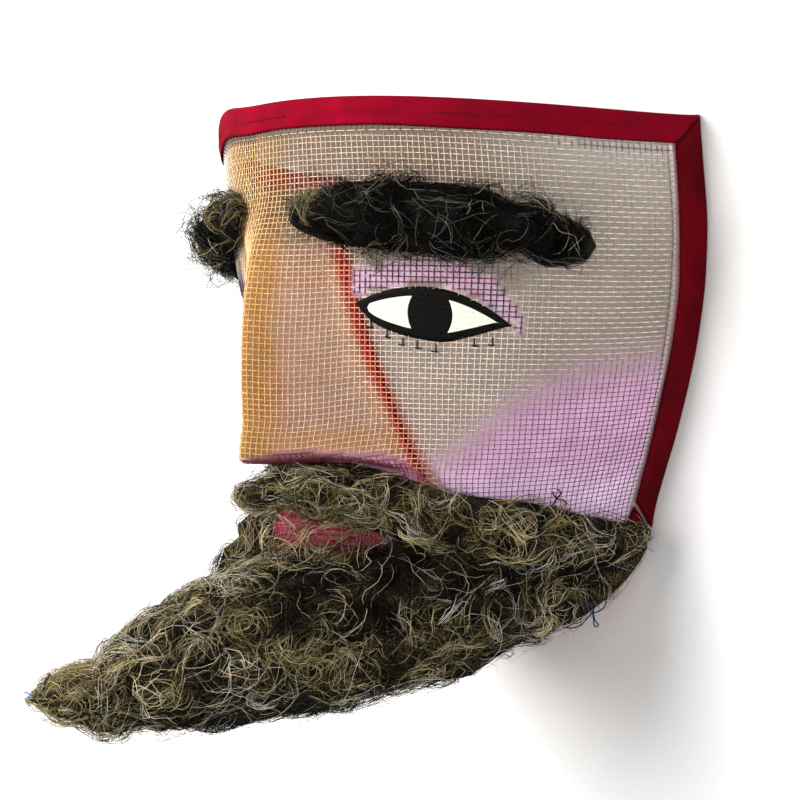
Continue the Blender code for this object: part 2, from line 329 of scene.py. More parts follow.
class NodeTree:
    """A material's nodes, with one short way to add them and the place on the mask to start from."""

    def __init__(self, name: str) -> None:
        """Starts a material with nothing but its output.

        Args:
            name: The material's name.
        """
        self.material = bpy.data.materials.new(name)
        self.material.use_nodes = True
        self.nodes = self.material.node_tree.nodes
        self.links = self.material.node_tree.links
        self.nodes.clear()
        self.output = self.nodes.new("ShaderNodeOutputMaterial")
        self.place = self.add("TexCoord").outputs["Object"]

    def add(self, kind: str, links: dict | None = None, stops: list[tuple[float, Colour]] | None = None,
            **settings: object) -> bpy.types.Node:
        """Adds a node.

        Args:
            kind: Its type, without the leading ShaderNode.
            links: Value or linked socket of each input, by input name or number.
            stops: Places and colours of a colour ramp's two stops.
            settings: Properties of the node itself.

        Returns:
            The node.
        """
        node = self.nodes.new("ShaderNode" + kind)
        for key, value in settings.items():
            setattr(node, key, value)
        for key, value in (links or {}).items():
            if isinstance(value, bpy.types.NodeSocket):
                self.links.new(value, node.inputs[key])
            else:
                node.inputs[key].default_value = value
        for number, (place, colour) in enumerate(stops or []):
            node.color_ramp.elements[number].position = place
            node.color_ramp.elements[number].color = (*colour, 1.0)
        return node

    def finish(self, shader: bpy.types.Node) -> Finish:
        """Joins a shader to the output and returns the material."""
        self.links.new(shader.outputs[0], self.output.inputs["Surface"])
        return self.material


@dataclass(frozen=True)
class PaintedWire:
    """Oil paint brushed over galvanised steel wire: a soft sheen with thick and thin places."""

    roughness: float = 0.42
    blob_mm: float = 1.2
    brush_mm: float = 9.0

    def build(self) -> Finish:
        """Makes the material. The colour comes from the points' attribute 'paint'.

        Returns:
            The material.
        """
        tree = NodeTree("painted_steel_wire")
        paint = tree.add("Attribute", attribute_name="paint").outputs["Color"]
        blobs = tree.add("TexNoise", {"Vector": tree.place, "Scale": per(self.blob_mm), "Detail": 2.0})
        brush = tree.add("TexNoise", {"Vector": tree.place, "Scale": per(self.brush_mm), "Detail": 3.0})
        wear_and_shade = tree.add("MapRange", {"Value": blobs.outputs["Fac"], "From Min": 0.3, "From Max": 0.7,
                                     "To Min": 0.78, "To Max": 1.12})
        streak = tree.add("MapRange", {"Value": brush.outputs["Fac"], "From Min": 0.3, "From Max": 0.7,
                                       "To Min": 0.90, "To Max": 1.08})
        both = tree.add("Math", {0: wear_and_shade.outputs[0], 1: streak.outputs[0]}, operation="MULTIPLY")
        colour = tree.add("VectorMath", {0: paint, "Scale": both.outputs[0]}, operation="SCALE")
        gloss = tree.add("MapRange", {"Value": blobs.outputs["Fac"], "To Min": self.roughness - 0.1,
                                      "To Max": self.roughness + 0.15})
        shader = tree.add("BsdfPrincipled", {"Base Color": colour.outputs[0],
                                             "Roughness": gloss.outputs[0], "IOR": 1.5})
        return tree.finish(shader)


@dataclass(frozen=True)
class CellVarnishAndShade:
    """Varnish and painted shade in the cells: a dull see-through skin between the wires."""

    roughness: float = 0.75

    def build(self) -> Finish:
        """Makes the material. Its tint and cover come from the points' attribute 'tint'.

        Returns:
            The material.
        """
        tree = NodeTree("varnish_in_cells")
        film = tree.add("Attribute", attribute_name="tint")
        tint = film.outputs["Color"]
        cloud = tree.add("TexNoise", {"Vector": tree.place, "Scale": per(6.0), "Detail": 3.0})
        light = tree.add("MapRange", {"Value": cloud.outputs["Fac"], "From Min": 0.3, "From Max": 0.7,
                                      "To Min": 0.88, "To Max": 1.10})
        colour = tree.add("VectorMath", {0: tint, "Scale": light.outputs[0]}, operation="SCALE")
        shader = tree.add("BsdfPrincipled", {"Base Color": colour.outputs[0], "Alpha": film.outputs["Alpha"],
                                             "Roughness": self.roughness, "IOR": 1.3})
        return tree.finish(shader)


@dataclass(frozen=True)
class RibbonTape:
    """Ribbed crimson satin tape: fine ribs across it, a silky sheen, cloudy darker patches and painted shade.
    """

    name: str = "ribbed_satin_tape"
    bright: str = "#A00024"
    deep: str = "#7E001A"
    rib_mm: float = 0.8
    cloud_mm: float = 14.0
    # How dark the tape is painted towards the wearer's left corner: painted shade
    corner_shade: float = 1.0

    def build(self) -> Finish:
        """Makes the material. The ribs follow the tape's own UV map, in metres.

        Returns:
            The material.
        """
        tree = NodeTree(self.name)
        uv = tree.add("UVMap", uv_map="tape").outputs["UV"]
        ribs = tree.add("TexWave", {"Vector": uv, "Scale": math.pi / (10.0 * self.rib_mm * MM),
                                    "Distortion": 0.3, "Detail": 1.0, "Detail Scale": 2.0},
                        bands_direction="X", wave_profile="SIN")
        clouds = tree.add("TexNoise", {"Vector": tree.place, "Scale": per(self.cloud_mm), "Detail": 4.0})
        lint = tree.add("TexNoise", {"Vector": tree.place, "Scale": per(0.5), "Detail": 2.0})
        shade = tree.add("MapRange", {"Value": clouds.outputs["Fac"], "From Min": 0.3, "From Max": 0.7})
        stops = [(0.0, linear(self.deep)), (1.0, linear(self.bright))]
        tone = tree.add("ValToRGB", {"Fac": shade.outputs[0]}, stops).outputs["Color"]
        # Lighter on the ribs' crests and darker in their troughs: painted light and shade of the ribs
        rib_light = tree.add("MapRange", {"Value": ribs.outputs["Fac"], "To Min": 0.80, "To Max": 1.12})
        grain = tree.add("MapRange", {"Value": lint.outputs["Fac"], "To Min": 0.85, "To Max": 1.15})
        both = tree.add("Math", {0: rib_light.outputs[0], 1: grain.outputs[0]}, operation="MULTIPLY")
        # Darker towards the wearer's left corner: painted shade, where less light falls
        across = tree.add("SeparateXYZ", {"Vector": tree.place}).outputs["X"]
        wear_and_shade = tree.add("MapRange", {"Value": across, "From Min": 0.030, "From Max": 0.075,
                                     "To Min": 1.0, "To Max": self.corner_shade})
        both = tree.add("Math", {0: both.outputs[0], 1: wear_and_shade.outputs[0]}, operation="MULTIPLY")
        colour = tree.add("VectorMath", {0: tone, "Scale": both.outputs[0]}, operation="SCALE")
        bump = tree.add("Bump", {"Height": ribs.outputs["Fac"], "Strength": 0.35, "Distance": 0.00012})
        shader = tree.add("BsdfPrincipled", {"Base Color": colour.outputs[0], "Roughness": 0.85,
                                             "Specular IOR Level": 0.06, "Normal": bump.outputs[0]})
        return tree.finish(shader)


@dataclass(frozen=True)
class CurledFibre:
    """Curled animal and plant fibre: each strand its own colour, darker in places, faintly glossy."""

    name: str = "curled_fibre"
    roughness: float = 0.6
    shine: float = 0.12

    def build(self) -> Finish:
        """Makes the material. The colour comes from the points' attribute 'fibre'.

        Returns:
            The material.
        """
        tree = NodeTree(self.name)
        fibre = tree.add("Attribute", attribute_name="fibre").outputs["Color"]
        mottle = tree.add("TexNoise", {"Vector": tree.place, "Scale": per(3.0), "Detail": 2.0})
        light = tree.add("MapRange", {"Value": mottle.outputs["Fac"], "From Min": 0.3, "From Max": 0.7,
                                      "To Min": 0.7, "To Max": 1.2})
        colour = tree.add("VectorMath", {0: fibre, "Scale": light.outputs[0]}, operation="SCALE")
        shader = tree.add("BsdfPrincipled", {"Base Color": colour.outputs[0], "Roughness": self.roughness,
                                             "Specular IOR Level": self.shine})
        return tree.finish(shader)


@dataclass(frozen=True)
class MattedFibre:
    """Matted fibre under the curls: near-black painted shade of its depths, with fine streaks of straw."""

    name: str
    dark: str = "#0C0906"
    pale: str = "#4A3F26"
    streak_mm: float = 0.6
    hollow_mm: float = 9.0

    def build(self) -> Finish:
        """Makes the material, streaky and rough, with patches of painted shade where it is near black.

        Returns:
            The material.
        """
        tree = NodeTree(self.name)
        warp = tree.add("TexNoise", {"Vector": tree.place, "Scale": per(7.0), "Detail": 2.0})
        moved = tree.add("VectorMath", {0: warp.outputs["Color"], "Scale": 0.012}, operation="SCALE")
        bent = tree.add("VectorMath", {0: tree.place, 1: moved.outputs[0]}, operation="ADD")
        layers = []
        for turned in (0.4, 2.1, 3.6):
            turn = tree.add("VectorRotate", {"Vector": bent.outputs[0], "Angle": turned,
                                             "Axis": (0.5, 0.6, 0.6)})
            streaks = tree.add("TexWave", {"Vector": turn.outputs[0],
                                           "Scale": per(self.streak_mm) / 6.0,
                                           "Distortion": 9.0, "Detail": 2.0, "Detail Scale": 1.0})
            layers.append(streaks.outputs["Fac"])
        crossed = tree.add("Math", {0: layers[0], 1: layers[1]}, operation="MAXIMUM")
        crossed = tree.add("Math", {0: crossed.outputs[0], 1: layers[2]}, operation="MAXIMUM")
        stops = [(0.86, linear(self.dark)), (0.99, linear(self.pale))]
        tone = tree.add("ValToRGB", {"Fac": crossed.outputs[0]}, stops).outputs["Color"]
        # Patches darkened to near black: painted shade of the hair's depths
        depth_shade = tree.add("TexNoise", {"Vector": tree.place, "Scale": per(self.hollow_mm), "Detail": 2.0})
        light = tree.add("MapRange", {"Value": depth_shade.outputs["Fac"], "From Min": 0.40, "From Max": 0.62,
                                      "To Min": 0.12, "To Max": 1.15})
        colour = tree.add("VectorMath", {0: tone, "Scale": light.outputs[0]}, operation="SCALE").outputs[0]
        bump = tree.add("Bump", {"Height": crossed.outputs[0], "Strength": 0.9, "Distance": 0.0006})
        shader = tree.add("BsdfPrincipled", {"Base Color": colour, "Roughness": 0.9,
                                             "Specular IOR Level": 0.1, "Normal": bump.outputs[0]})
        return tree.finish(shader)


@dataclass(frozen=True)
class PaintFilm:
    """Thick oil paint that fills the cells of the cloth, with the wires showing as faint rows."""

    name: str
    colour: str
    shade: str
    roughness: float
    relief: float = 0.4

    def build(self) -> Finish:
        """Makes the material. The rows follow the film's UV map, one unit to a wire.

        Returns:
            The material.
        """
        tree = NodeTree(self.name)
        uv = tree.add("UVMap", uv_map="wires").outputs["UV"]
        rows = tree.add("TexWave", {"Vector": uv, "Scale": math.pi / 10.0, "Distortion": 0.8, "Detail": 2.0},
                        bands_direction="Y", wave_profile="SIN")
        smears = tree.add("TexNoise", {"Vector": tree.place, "Scale": per(1.6), "Detail": 3.0})
        broken = tree.add("MapRange", {"Value": smears.outputs["Fac"], "From Min": 0.42, "From Max": 0.60})
        # The rows, raised as relief as well, are drawn darker in their troughs: painted shade of the relief
        mixed = tree.add("Math", {0: rows.outputs["Fac"], 1: broken.outputs[0]}, operation="MAXIMUM")
        stops = [(0.0, linear(self.shade)), (0.55, linear(self.colour))]
        colour = tree.add("ValToRGB", {"Fac": mixed.outputs[0]}, stops).outputs["Color"]
        bump = tree.add("Bump", {"Height": mixed.outputs[0], "Strength": self.relief, "Distance": 0.0002})
        shader = tree.add("BsdfPrincipled", {"Base Color": colour, "Roughness": self.roughness, "IOR": 1.4,
                                             "Specular IOR Level": 0.1, "Normal": bump.outputs[0]})
        return tree.finish(shader)


@dataclass(frozen=True)
class TwistedThread:
    """Cotton sewing thread: matt, with the slant of its twist."""

    name: str
    colour: str
    twist_mm: float = 0.6

    def build(self) -> Finish:
        """Makes the material, its twist drawn coarse enough to show.

        Returns:
            The material.
        """
        tree = NodeTree(self.name)
        twist = tree.add("TexWave", {"Vector": tree.place, "Scale": per(self.twist_mm) / 20.0 * math.pi,
                                     "Distortion": 1.0}, bands_direction="DIAGONAL")
        base = linear(self.colour)
        dark = tuple(0.6 * part for part in base)
        stops = [(0.0, dark), (1.0, base)]
        colour = tree.add("ValToRGB", {"Fac": twist.outputs["Fac"]}, stops).outputs["Color"]
        shader = tree.add("BsdfPrincipled", {"Base Color": colour, "Roughness": 0.75,
                                             "Specular IOR Level": 0.1})
        return tree.finish(shader)


@dataclass(frozen=True)
class PaleFloor:
    """Matt white card: even and plain."""

    colour: str = "#F4F3F1"

    def build(self) -> Finish:
        """Makes the material.

        Returns:
            The material.
        """
        tree = NodeTree("matt_card")
        grain = tree.add("TexNoise", {"Vector": tree.place, "Scale": 400.0, "Detail": 2.0})
        base = linear(self.colour)
        stops = [(0.3, tuple(0.985 * part for part in base)), (0.7, base)]
        colour = tree.add("ValToRGB", {"Fac": grain.outputs["Fac"]}, stops).outputs["Color"]
        shader = tree.add("BsdfPrincipled", {"Base Color": colour, "Roughness": 0.9})
        return tree.finish(shader)


# The face's surface


@dataclass(frozen=True)
class FaceSizes:
    """Driving sizes of the curved face, which start from those of the solid cloth it replaces."""

    top_corner_y: float = 0.0673
    jaw_level: float = 0.1138
    chin_level: float = 0.1508
    jaw_exponent: float = 2.2
    front_exponent: float = 1.8
    side_exponent: float = 2.2
    nose_rounding: float = 0.10
    nose_tip_level: float = 0.1003
    nose_underside: float = 0.0045
    nostril_lift: float = 0.0045
    mouth_half_width: float = 0.031
    brow_arch_exponent: float = 1.6
    top_flatness: float = 0.3
    top_fade: float = 0.045
    corner_lift: float = 0.0018
    pull: float = 0.0028
    pull_share: float = 0.24
    pull_reach: float = 0.13
    cheek_sag: float = 0.005
    cheek_sag_from: float = 0.025
    cheek_sag_over: float = 0.070
    cheek_inner_share: float = 0.15
    kept_level: float = 0.0978
    kept_fade: float = 0.060
    rim_lift: float = 0.0011
    # Level, half width, arch depth, centre line Y, nose height, nose half width, mouth height
    levels: tuple[tuple[float, ...], ...] = (
        (0.0000, 0.0902, 0.0836, 0.0854, 0.0003, 0.0340, 0.0000),
        (0.0238, 0.0895, 0.0842, 0.0619, 0.0022, 0.0320, 0.0000),
        (0.0418, 0.0866, 0.0840, 0.0429, 0.0095, 0.0220, 0.0000),
        (0.0588, 0.0811, 0.0818, 0.0259, 0.0165, 0.0190, 0.0000),
        (0.0738, 0.0746, 0.0788, 0.0109, 0.0220, 0.0190, 0.0000),
        (0.0868, 0.0677, 0.0752, -0.0021, 0.0266, 0.0220, 0.0000),
        (0.0988, 0.0605, 0.0722, -0.0136, 0.0298, 0.0270, 0.0020),
        (0.1088, 0.0548, 0.0704, -0.0231, 0.0295, 0.0260, 0.0090),
        (0.1198, 0.0506, 0.0690, -0.0341, 0.0290, 0.0240, 0.0175),
        (0.1338, 0.0462, 0.0675, -0.0491, 0.0290, 0.0240, 0.0200),
        (0.1508, 0.0420, 0.0640, -0.0661, 0.0290, 0.0240, 0.0200),
        (0.1768, 0.0380, 0.0550, -0.0911, 0.0290, 0.0240, 0.0180),
    )


class FaceSurface:
    """The middle surface of the cloth, held as a fine table over share and level."""

    LEVEL_STEP = 0.00025
    SHARE_COUNT = 601
    TURN_COUNT = 241

    def __init__(self, sizes: FaceSizes) -> None:
        """Works out the table's points, normals and lengths down each column.

        Args:
            sizes: The driving sizes.
        """
        self.sizes = sizes
        rows = np.array(sizes.levels)
        self.level_line = np.arange(0.0, rows[-1, 0], self.LEVEL_STEP)
        self.share_line = np.linspace(0.0, 1.0, self.SHARE_COUNT)
        levels = self.level_line[:, None]
        size = [self._monotone(rows[:, 0], rows[:, i], self.level_line)[:, None] for i in range(1, 7)]
        turn = self._turns(levels, size)
        x, z = self._section(turn, levels, size)
        rim_y = sizes.top_corner_y - levels
        near_top = np.clip(1.0 - levels / sizes.top_fade, 0.0, 1.0)
        exponent = sizes.brow_arch_exponent - sizes.top_flatness * near_top
        bend = np.abs(np.cos(self.share_line * math.pi / 2.0))[None] ** exponent
        sag = np.clip((levels - sizes.cheek_sag_from) / sizes.cheek_sag_over, 0.0, 1.0) ** 1.3
        side = (self.share_line - sizes.cheek_inner_share) / (1.0 - sizes.cheek_inner_share)
        across = np.clip(side, 0.0, 1.0) ** 0.9
        y = rim_y + (size[2] - rim_y) * bend
        y = y - sizes.cheek_sag * sag * np.abs(np.sin(math.pi * across))[None] ** 1.5
        y = y + sizes.corner_lift * near_top * self.share_line[None] ** 3
        self.points = np.stack([x, y, z + sizes.rim_lift], axis=-1)
        down, beside = np.gradient(self.points, axis=0), np.gradient(self.points, axis=1)
        self.normals = unit(np.cross(down, beside))
        steps = np.linalg.norm(np.diff(self.points, axis=0), axis=-1)
        self.lengths = np.concatenate([np.zeros((1, self.SHARE_COUNT)), np.cumsum(steps, axis=0)])

    @staticmethod
    def _monotone(places: Array, heights: Array, at: Array) -> Array:
        """Reads a curve through the points that never overshoots between them.

        Args:
            places: Places in rising order.
            heights: Height at each place.
            at: Places to read.

        Returns:
            The heights there.
        """
        gaps = np.diff(places)
        rises = np.diff(heights) / gaps
        slopes = np.zeros(len(places))
        slopes[0], slopes[-1] = rises[0], rises[-1]
        for i in range(1, len(places) - 1):
            if rises[i - 1] * rises[i] > 0.0:
                before = 2.0 * gaps[i] + gaps[i - 1]
                after = gaps[i] + 2.0 * gaps[i - 1]
                slopes[i] = (before + after) / (before / rises[i - 1] + after / rises[i])
        return hermite(places, heights, slopes, at)

    def _section(self, turn: Array, level: Array, size: list[Array]) -> tuple[Array, Array]:
        """Works out the face's section at each level.

        Args:
            turn: From 0 at the centre line to 1 at the rim.
            level: The levels.
            size: The sizes at each level, by column of the table.

        Returns:
            X and Z of the face there.
        """
        sizes = self.sizes
        half_width, depth_shade, _, nose, nose_half, mouth = size
        angle = turn * math.pi / 2.0
        x = half_width * np.sin(angle) ** (2.0 / sizes.front_exponent)
        z = depth_shade * np.abs(np.cos(angle)) ** (2.0 / sizes.side_exponent)
        reach = x / nose_half
        lowered = level + sizes.nostril_lift * reach ** 2 - sizes.nose_tip_level
        kept = 1.0 - smooth_step(lowered / sizes.nose_underside)
        bulge = np.clip(1.0 - (x / sizes.mouth_half_width) ** 2, 0.0, 1.0) ** 2
        ridge = sizes.nose_rounding
        full = math.sqrt(1.0 + ridge ** 2) - ridge
        wall = 1.0 - (np.sqrt(reach * reach + ridge ** 2) - ridge) / full
        profile = 0.5 * (wall + np.sqrt(wall * wall + ridge ** 2))
        return x, z + nose * kept * profile + mouth * bulge

    def _turns(self, levels: Array, size: list[Array]) -> Array:
        """Finds the turn of each share at each level.

        Args:
            levels: The levels.
            size: The sizes at each level.

        Returns:
            The turns, even along the arc down to the nose's tip.
        """
        turns = np.linspace(0.0, 1.0, self.TURN_COUNT)
        x, z = self._section(turns[None], levels, size)
        steps = np.hypot(np.diff(x), np.diff(z))
        arc = np.concatenate([np.zeros((len(x), 1)), np.cumsum(steps, axis=1)], axis=1)
        arc /= arc[:, -1:]
        kept = np.interp(self.share_line, arc[int(round(self.sizes.kept_level / self.LEVEL_STEP))], turns)
        even = np.array([np.interp(self.share_line, row, turns) for row in arc])
        fade = smooth_step((levels - self.sizes.kept_level) / self.sizes.kept_fade)
        return np.where(levels <= self.sizes.kept_level, even, kept + (even - kept) * fade)

    def _read(self, table: Array, share: Array, level: Array) -> Array:
        """Reads a table between its entries. X turns over on the wearer's right.

        Args:
            table: Values by level and share.
            share: Column shares.
            level: Levels.

        Returns:
            The values there.
        """
        share, level = np.broadcast_arrays(np.asarray(share, float), np.asarray(level, float))
        across = np.clip(np.abs(share), 0.0, 1.0) * (self.SHARE_COUNT - 1)
        down = np.clip(level / self.LEVEL_STEP, 0.0, len(self.level_line) - 1.001)
        i = np.minimum(across.astype(int), self.SHARE_COUNT - 2)
        j = down.astype(int)
        s, t = (across - i)[..., None], (down - j)[..., None]
        upper = table[j, i] * (1.0 - s) + table[j, i + 1] * s
        lower = table[j + 1, i] * (1.0 - s) + table[j + 1, i + 1] * s
        found = upper * (1.0 - t) + lower * t
        if table.shape[-1] == 3:
            found[..., 0] *= np.where(share < 0.0, -1.0, 1.0)
        return found

    def point(self, share: Array | float, level: Array | float) -> Array:
        """Points of the middle of the cloth, whose top edge is pulled up on the wearer's right.

        Args:
            share: Column shares.
            level: Levels.

        Returns:
            The points.
        """
        found = self._read(self.points, share, level)
        sizes = self.sizes
        pulled = np.exp(-((np.asarray(share) + sizes.pull_share) / sizes.pull_reach) ** 2)
        found[..., 1] += sizes.pull * pulled * np.clip(1.0 - np.asarray(level) / sizes.top_fade, 0.0, 1.0)
        return found

    def normal(self, share: Array | float, level: Array | float) -> Array:
        """Outward normals of the cloth."""
        return unit(self._read(self.normals, share, level))

    def at(self, share: Array | float, level: Array | float) -> tuple[Array, Array]:
        """Points of the middle of the cloth and the normals there."""
        return self.point(share, level), self.normal(share, level)

    def lower_edge(self, share: Array | float) -> Array:
        """Finds the level at which the cloth is cut off along the jaw.

        Args:
            share: Column shares.

        Returns:
            The levels.
        """
        sizes = self.sizes
        curve = np.sqrt(np.clip(1.0 - np.abs(share) ** sizes.jaw_exponent, 0.0, 1.0))
        return sizes.jaw_level + (sizes.chin_level - sizes.jaw_level) * curve

    def column(self, share: float) -> tuple[Array, Array]:
        """Levels along a column and the length of cloth above each."""
        length = self._read(self.lengths[..., None], share, self.level_line)[..., 0]
        return self.level_line, length


# The paint on the cloth


class Side(Enum):
    """A half of the face, by the wearer's own hand."""

    LEFT = 1.0
    RIGHT = -1.0


@dataclass(frozen=True)
class EyeShape:
    """The almond eye painted on each half, as curves of level over share."""

    upper: Curve = (
        (0.250, 0.0552), (0.300, 0.0520), (0.367, 0.0495), (0.427, 0.0488), (0.482, 0.0498),
        (0.548, 0.0532), (0.592, 0.0568))
    lower: Curve = (
        (0.250, 0.0552), (0.288, 0.0595), (0.357, 0.0622), (0.410, 0.0628), (0.453, 0.0628),
        (0.500, 0.0610), (0.560, 0.0582), (0.592, 0.0568))
    white_shares: tuple[float, float] = (0.281, 0.572)
    lid_line: float = 0.0020
    iris_centre: float = 0.4225
    iris_half_share: float = 0.0480
    iris_end_share: float = 0.0370
    shadow_top: Curve = (
        (0.240, 0.0462), (0.330, 0.0432), (0.415, 0.0416), (0.490, 0.0422), (0.560, 0.0462),
        (0.597, 0.0515), (0.620, 0.0560))
    shadow_foot: Curve = (
        (0.240, 0.0532), (0.300, 0.0514), (0.358, 0.0494), (0.440, 0.0486), (0.510, 0.0502),
        (0.545, 0.0532), (0.585, 0.0570), (0.620, 0.0600))
    lash_places: Curve = (
        (0.290, 0.0605), (0.328, 0.0625), (0.365, 0.0640), (0.397, 0.0642), (0.438, 0.0645),
        (0.518, 0.0618), (0.555, 0.0612))

    def in_shadow(self, side: Array, level: Array, margin: float = 0.0) -> Array:
        """True where a place is in the band of colour over the eye, widened by a margin."""
        top, foot = through(self.shadow_top, side), through(self.shadow_foot, side)
        return (level > top - margin) & (level < foot + margin) & (side > 0.235) & (side < 0.621)


@dataclass(frozen=True)
class FacePaint:
    """Where each colour lies on the wires, in shares and levels."""

    eye: EyeShape = EyeShape()
    cream: str = "#F2DDC8"
    # Toward the sides the pale colour is a painted highlight, and the grey after it is painted shade on the
    # upright wires
    pale: str = "#F8EEDF"
    upright_shade: str = "#B4A898"
    gold: str = "#F2C686"
    salmon: str = "#F6BA96"
    rose_flank: str = "#F6D4BC"
    blush: str = "#8C2E70"
    blush_dark: str = "#58386A"
    nostril: str = "#74203E"
    lip: str = "#C22F55"
    # Painted shadow of the brow, on the wires under it
    painted_brow_shadow: str = "#3A322B"
    magenta: str = "#7A0C44"
    navy: str = "#06061A"
    # Painted highlight and reflection of the tape, on the wires along its edge
    tape_glow: str = "#F0C4C4"
    # Share of the strip beside the nose at each level, and level of the blush's upper line at each share
    strip: Curve = (
        (0.030, 0.190), (0.044, 0.222), (0.059, 0.260), (0.0695, 0.292), (0.0808, 0.338), (0.092, 0.386),
        (0.1008, 0.438), (0.108, 0.480))
    blush_line: Curve = (
        (0.340, 0.0965), (0.427, 0.0880), (0.515, 0.0782), (0.595, 0.0686), (0.673, 0.0620), (0.732, 0.0588),
        (0.933, 0.0552), (1.000, 0.0548))
    # Painted glow of the far red tape, on the wires in front of the strip where it shows through
    painted_strip_glow: str = "#F0804E"

    def tints(self, share: Array, level: Array) -> Array:
        """Mixes the colour of the skin in the cells, varnish and painted shade, at places on the cloth.

        Args:
            share: Column shares.
            level: Levels.

        Returns:
            Linear colours, each with its cover from 0 to 1.
        """
        side = np.abs(share)
        below = self.below_line(side, level)
        beyond = side - through(self.strip, level)
        beside_nose = smooth_step((0.016 - beyond) / 0.02)
        high = smooth_step((0.046 - level) / 0.018)
        strip = np.exp(-((beyond + 0.004) / 0.024) ** 4) * smooth_step((level - 0.036) / 0.006)
        edge = 0.0172 + 0.020 * share
        far_tape = smooth_step((level - edge) / 0.0008) * smooth_step((edge + 0.0062 - level) / 0.0015)
        far_tape = far_tape * smooth_step((0.27 - side) / 0.04) * (share > -0.05)
        across = np.where(share < 0.0, 0.30 * side, side)
        by_tape = (1.0 - TAPE_SHARE - side) * HALF_CLOTH
        # Partly varnish, partly painted shade and light: the tints darken the cells like the mask's shaded
        # inside, most near the top, and lighten the blush
        layers = (
            ("#887C6C", 0.57, np.ones(share.shape)),
            ("#AE8060", 0.84, beside_nose * (1.0 - high)),
            ("#A87438", 0.84, smooth_step((0.10 - across) / 0.06)),
            ("#5E4426", 0.92, high * smooth_step((0.95 - side) / 0.55) * smooth_step((share + 0.06) / 0.06)),
            ("#4E2C10", 0.96, high * smooth_step(-share / 0.06)),
            ("#54120C", 0.70, far_tape),
            ("#F4C4EA", 0.74, smooth_step(below / 0.021) * smooth_step(beyond / 0.05)),
            ("#FFE4FF", 0.92, smooth_step((level - 0.090) / 0.014) * smooth_step(beyond / 0.05)),
            ("#D894B4", 0.80, self.under_nose(side, level)),
            ("#7A2A34", 0.85, smooth_step((level - 0.1085) / 0.003) * smooth_step((0.34 - side) / 0.04)),
            ("#8A1810", 0.18, strip * (share > 0.0)),
            ("#E6C4DA", 0.76, self.eye.in_shadow(side, level, -0.0002) * 1.0),
            ("#F4E4EA", 0.35, smooth_step((0.0022 - by_tape) / 0.0010)),
        )
        tint = np.zeros(share.shape + (4,))
        for code, cover, amount in layers:
            amount = np.clip(amount, 0.0, 1.0)[..., None]
            tint = tint * (1.0 - amount) + np.array([*linear(code), cover]) * amount
        return tint

    def below_line(self, side: Array, level: Array) -> Array:
        """How far a place lies below the upper line of the blush."""
        return level - through(self.blush_line, side)

    @staticmethod
    def under_nose(side: Array, level: Array) -> Array:
        """How far a place lies under the nose, from 0 to 1."""
        fold = through(((0.0, 0.1000), (0.065, 0.0984), (0.215, 0.0974), (0.345, 0.0954), (0.383, 0.0966),
                        (0.433, 0.1002), (0.470, 0.1060)), side)
        return smooth_step((level - fold) / 0.0010) * smooth_step((0.47 - side) / 0.02)

    def colours(self, share: Array, level: Array, upright: bool, rng: Rng) -> Array:
        """Colour of the paint at places on one set of wires, with painted light and shade laid in.

        Args:
            share: Column shares.
            level: Levels.
            upright: True on the upright wires, False on the cross wires.
            rng: Source of the dabs where two colours mix.

        Returns:
            Linear colours, one to a place.
        """
        side = np.abs(share)
        paint = np.ones(share.shape + (3,)) * np.array(linear(self.cream))

        def lay(name: str, amount: Array) -> None:
            """Covers the paint with another colour.

            Args:
                name: The colour.
                amount: How much of it, from 0 to 1.
            """
            nonlocal paint
            amount = np.clip(amount, 0.0, 1.0)[..., None]
            paint = paint * (1.0 - amount) + np.array(linear(getattr(self, name))) * amount

        dab = rng.uniform(size=share.shape)
        # Paler wires toward the sides and greyer uprights there: painted highlight and shade, as light from
        # above catches the cross wires
        lay("pale", smooth_step((side - 0.42) / 0.30))
        if upright:
            lay("upright_shade", smooth_step((side - 0.50) / 0.22))
        lay("rose_flank", 0.85 * smooth_step((0.24 - side) / 0.10))
        band = np.exp(-((side - 0.085) / 0.020) ** 2) * smooth_step((level - 0.055) / 0.02)
        lay("salmon", 0.8 * band)
        ridge = smooth_step((0.095 - np.where(share < 0.0, 0.30 * side, side)) / 0.045)
        foot = smooth_step((level - 0.0935 + 0.02 * side) / 0.003) * smooth_step((0.42 - side) / 0.20)
        lay("gold", np.maximum(ridge, foot))
        beyond = side - through(self.strip, level)
        # Orange on the wires where the far tape shows through behind them: painted glow of that tape
        strip_glow = np.exp(-((beyond + 0.006) / 0.022) ** 4) * smooth_step((level - 0.040) / 0.004)
        lay("painted_strip_glow", 0.75 * strip_glow)
        # Dark wires just under the brow: painted shadow of the brow
        brow_shadow = np.exp(-((level - 0.0432) / 0.0050) ** 2) * smooth_step((side - 0.25) / 0.05)
        lay("painted_brow_shadow", 0.85 * brow_shadow * smooth_step((0.66 - side) / 0.08))
        below = self.below_line(side, level)
        lay("blush", 0.95 * smooth_step(below / 0.018) * smooth_step(beyond / 0.03))
        low = smooth_step((below - 0.014) / 0.018) * smooth_step(beyond / 0.06)
        lay("blush_dark", low * (0.75 if upright else 0.45))
        lay("nostril", 0.95 * self.under_nose(side, level))
        mouth = smooth_step((level - 0.1085) / 0.003) * smooth_step((0.30 - side) / 0.04)
        lay("lip", mouth * smooth_step((0.1335 - level) / 0.003))
        shadow = self.eye.in_shadow(side, level)
        lay("magenta", shadow * (dab < 0.96))
        outer = smooth_step((side - 0.50) / 0.08)
        lay("navy", shadow * (dab < (0.62 if upright else 0.22) + 0.3 * outer))
        from_side = (1.0 - TAPE_SHARE - side) * HALF_CLOTH
        from_top = level - TOP_TAPE_HEIGHT
        bare = np.minimum(from_side, from_top if upright else np.where(side > 0.72, from_top, 1.0))
        lay("navy", (0.92 if upright else 0.80) * smooth_step((0.0028 - bare) / 0.0010))
        # A pale pink line on the wires at the tape's edge: painted highlight and reflection of the tape
        lay("tape_glow", 0.4 * smooth_step((0.0012 - bare) / 0.0006))
        return paint


# Woven wire cloth


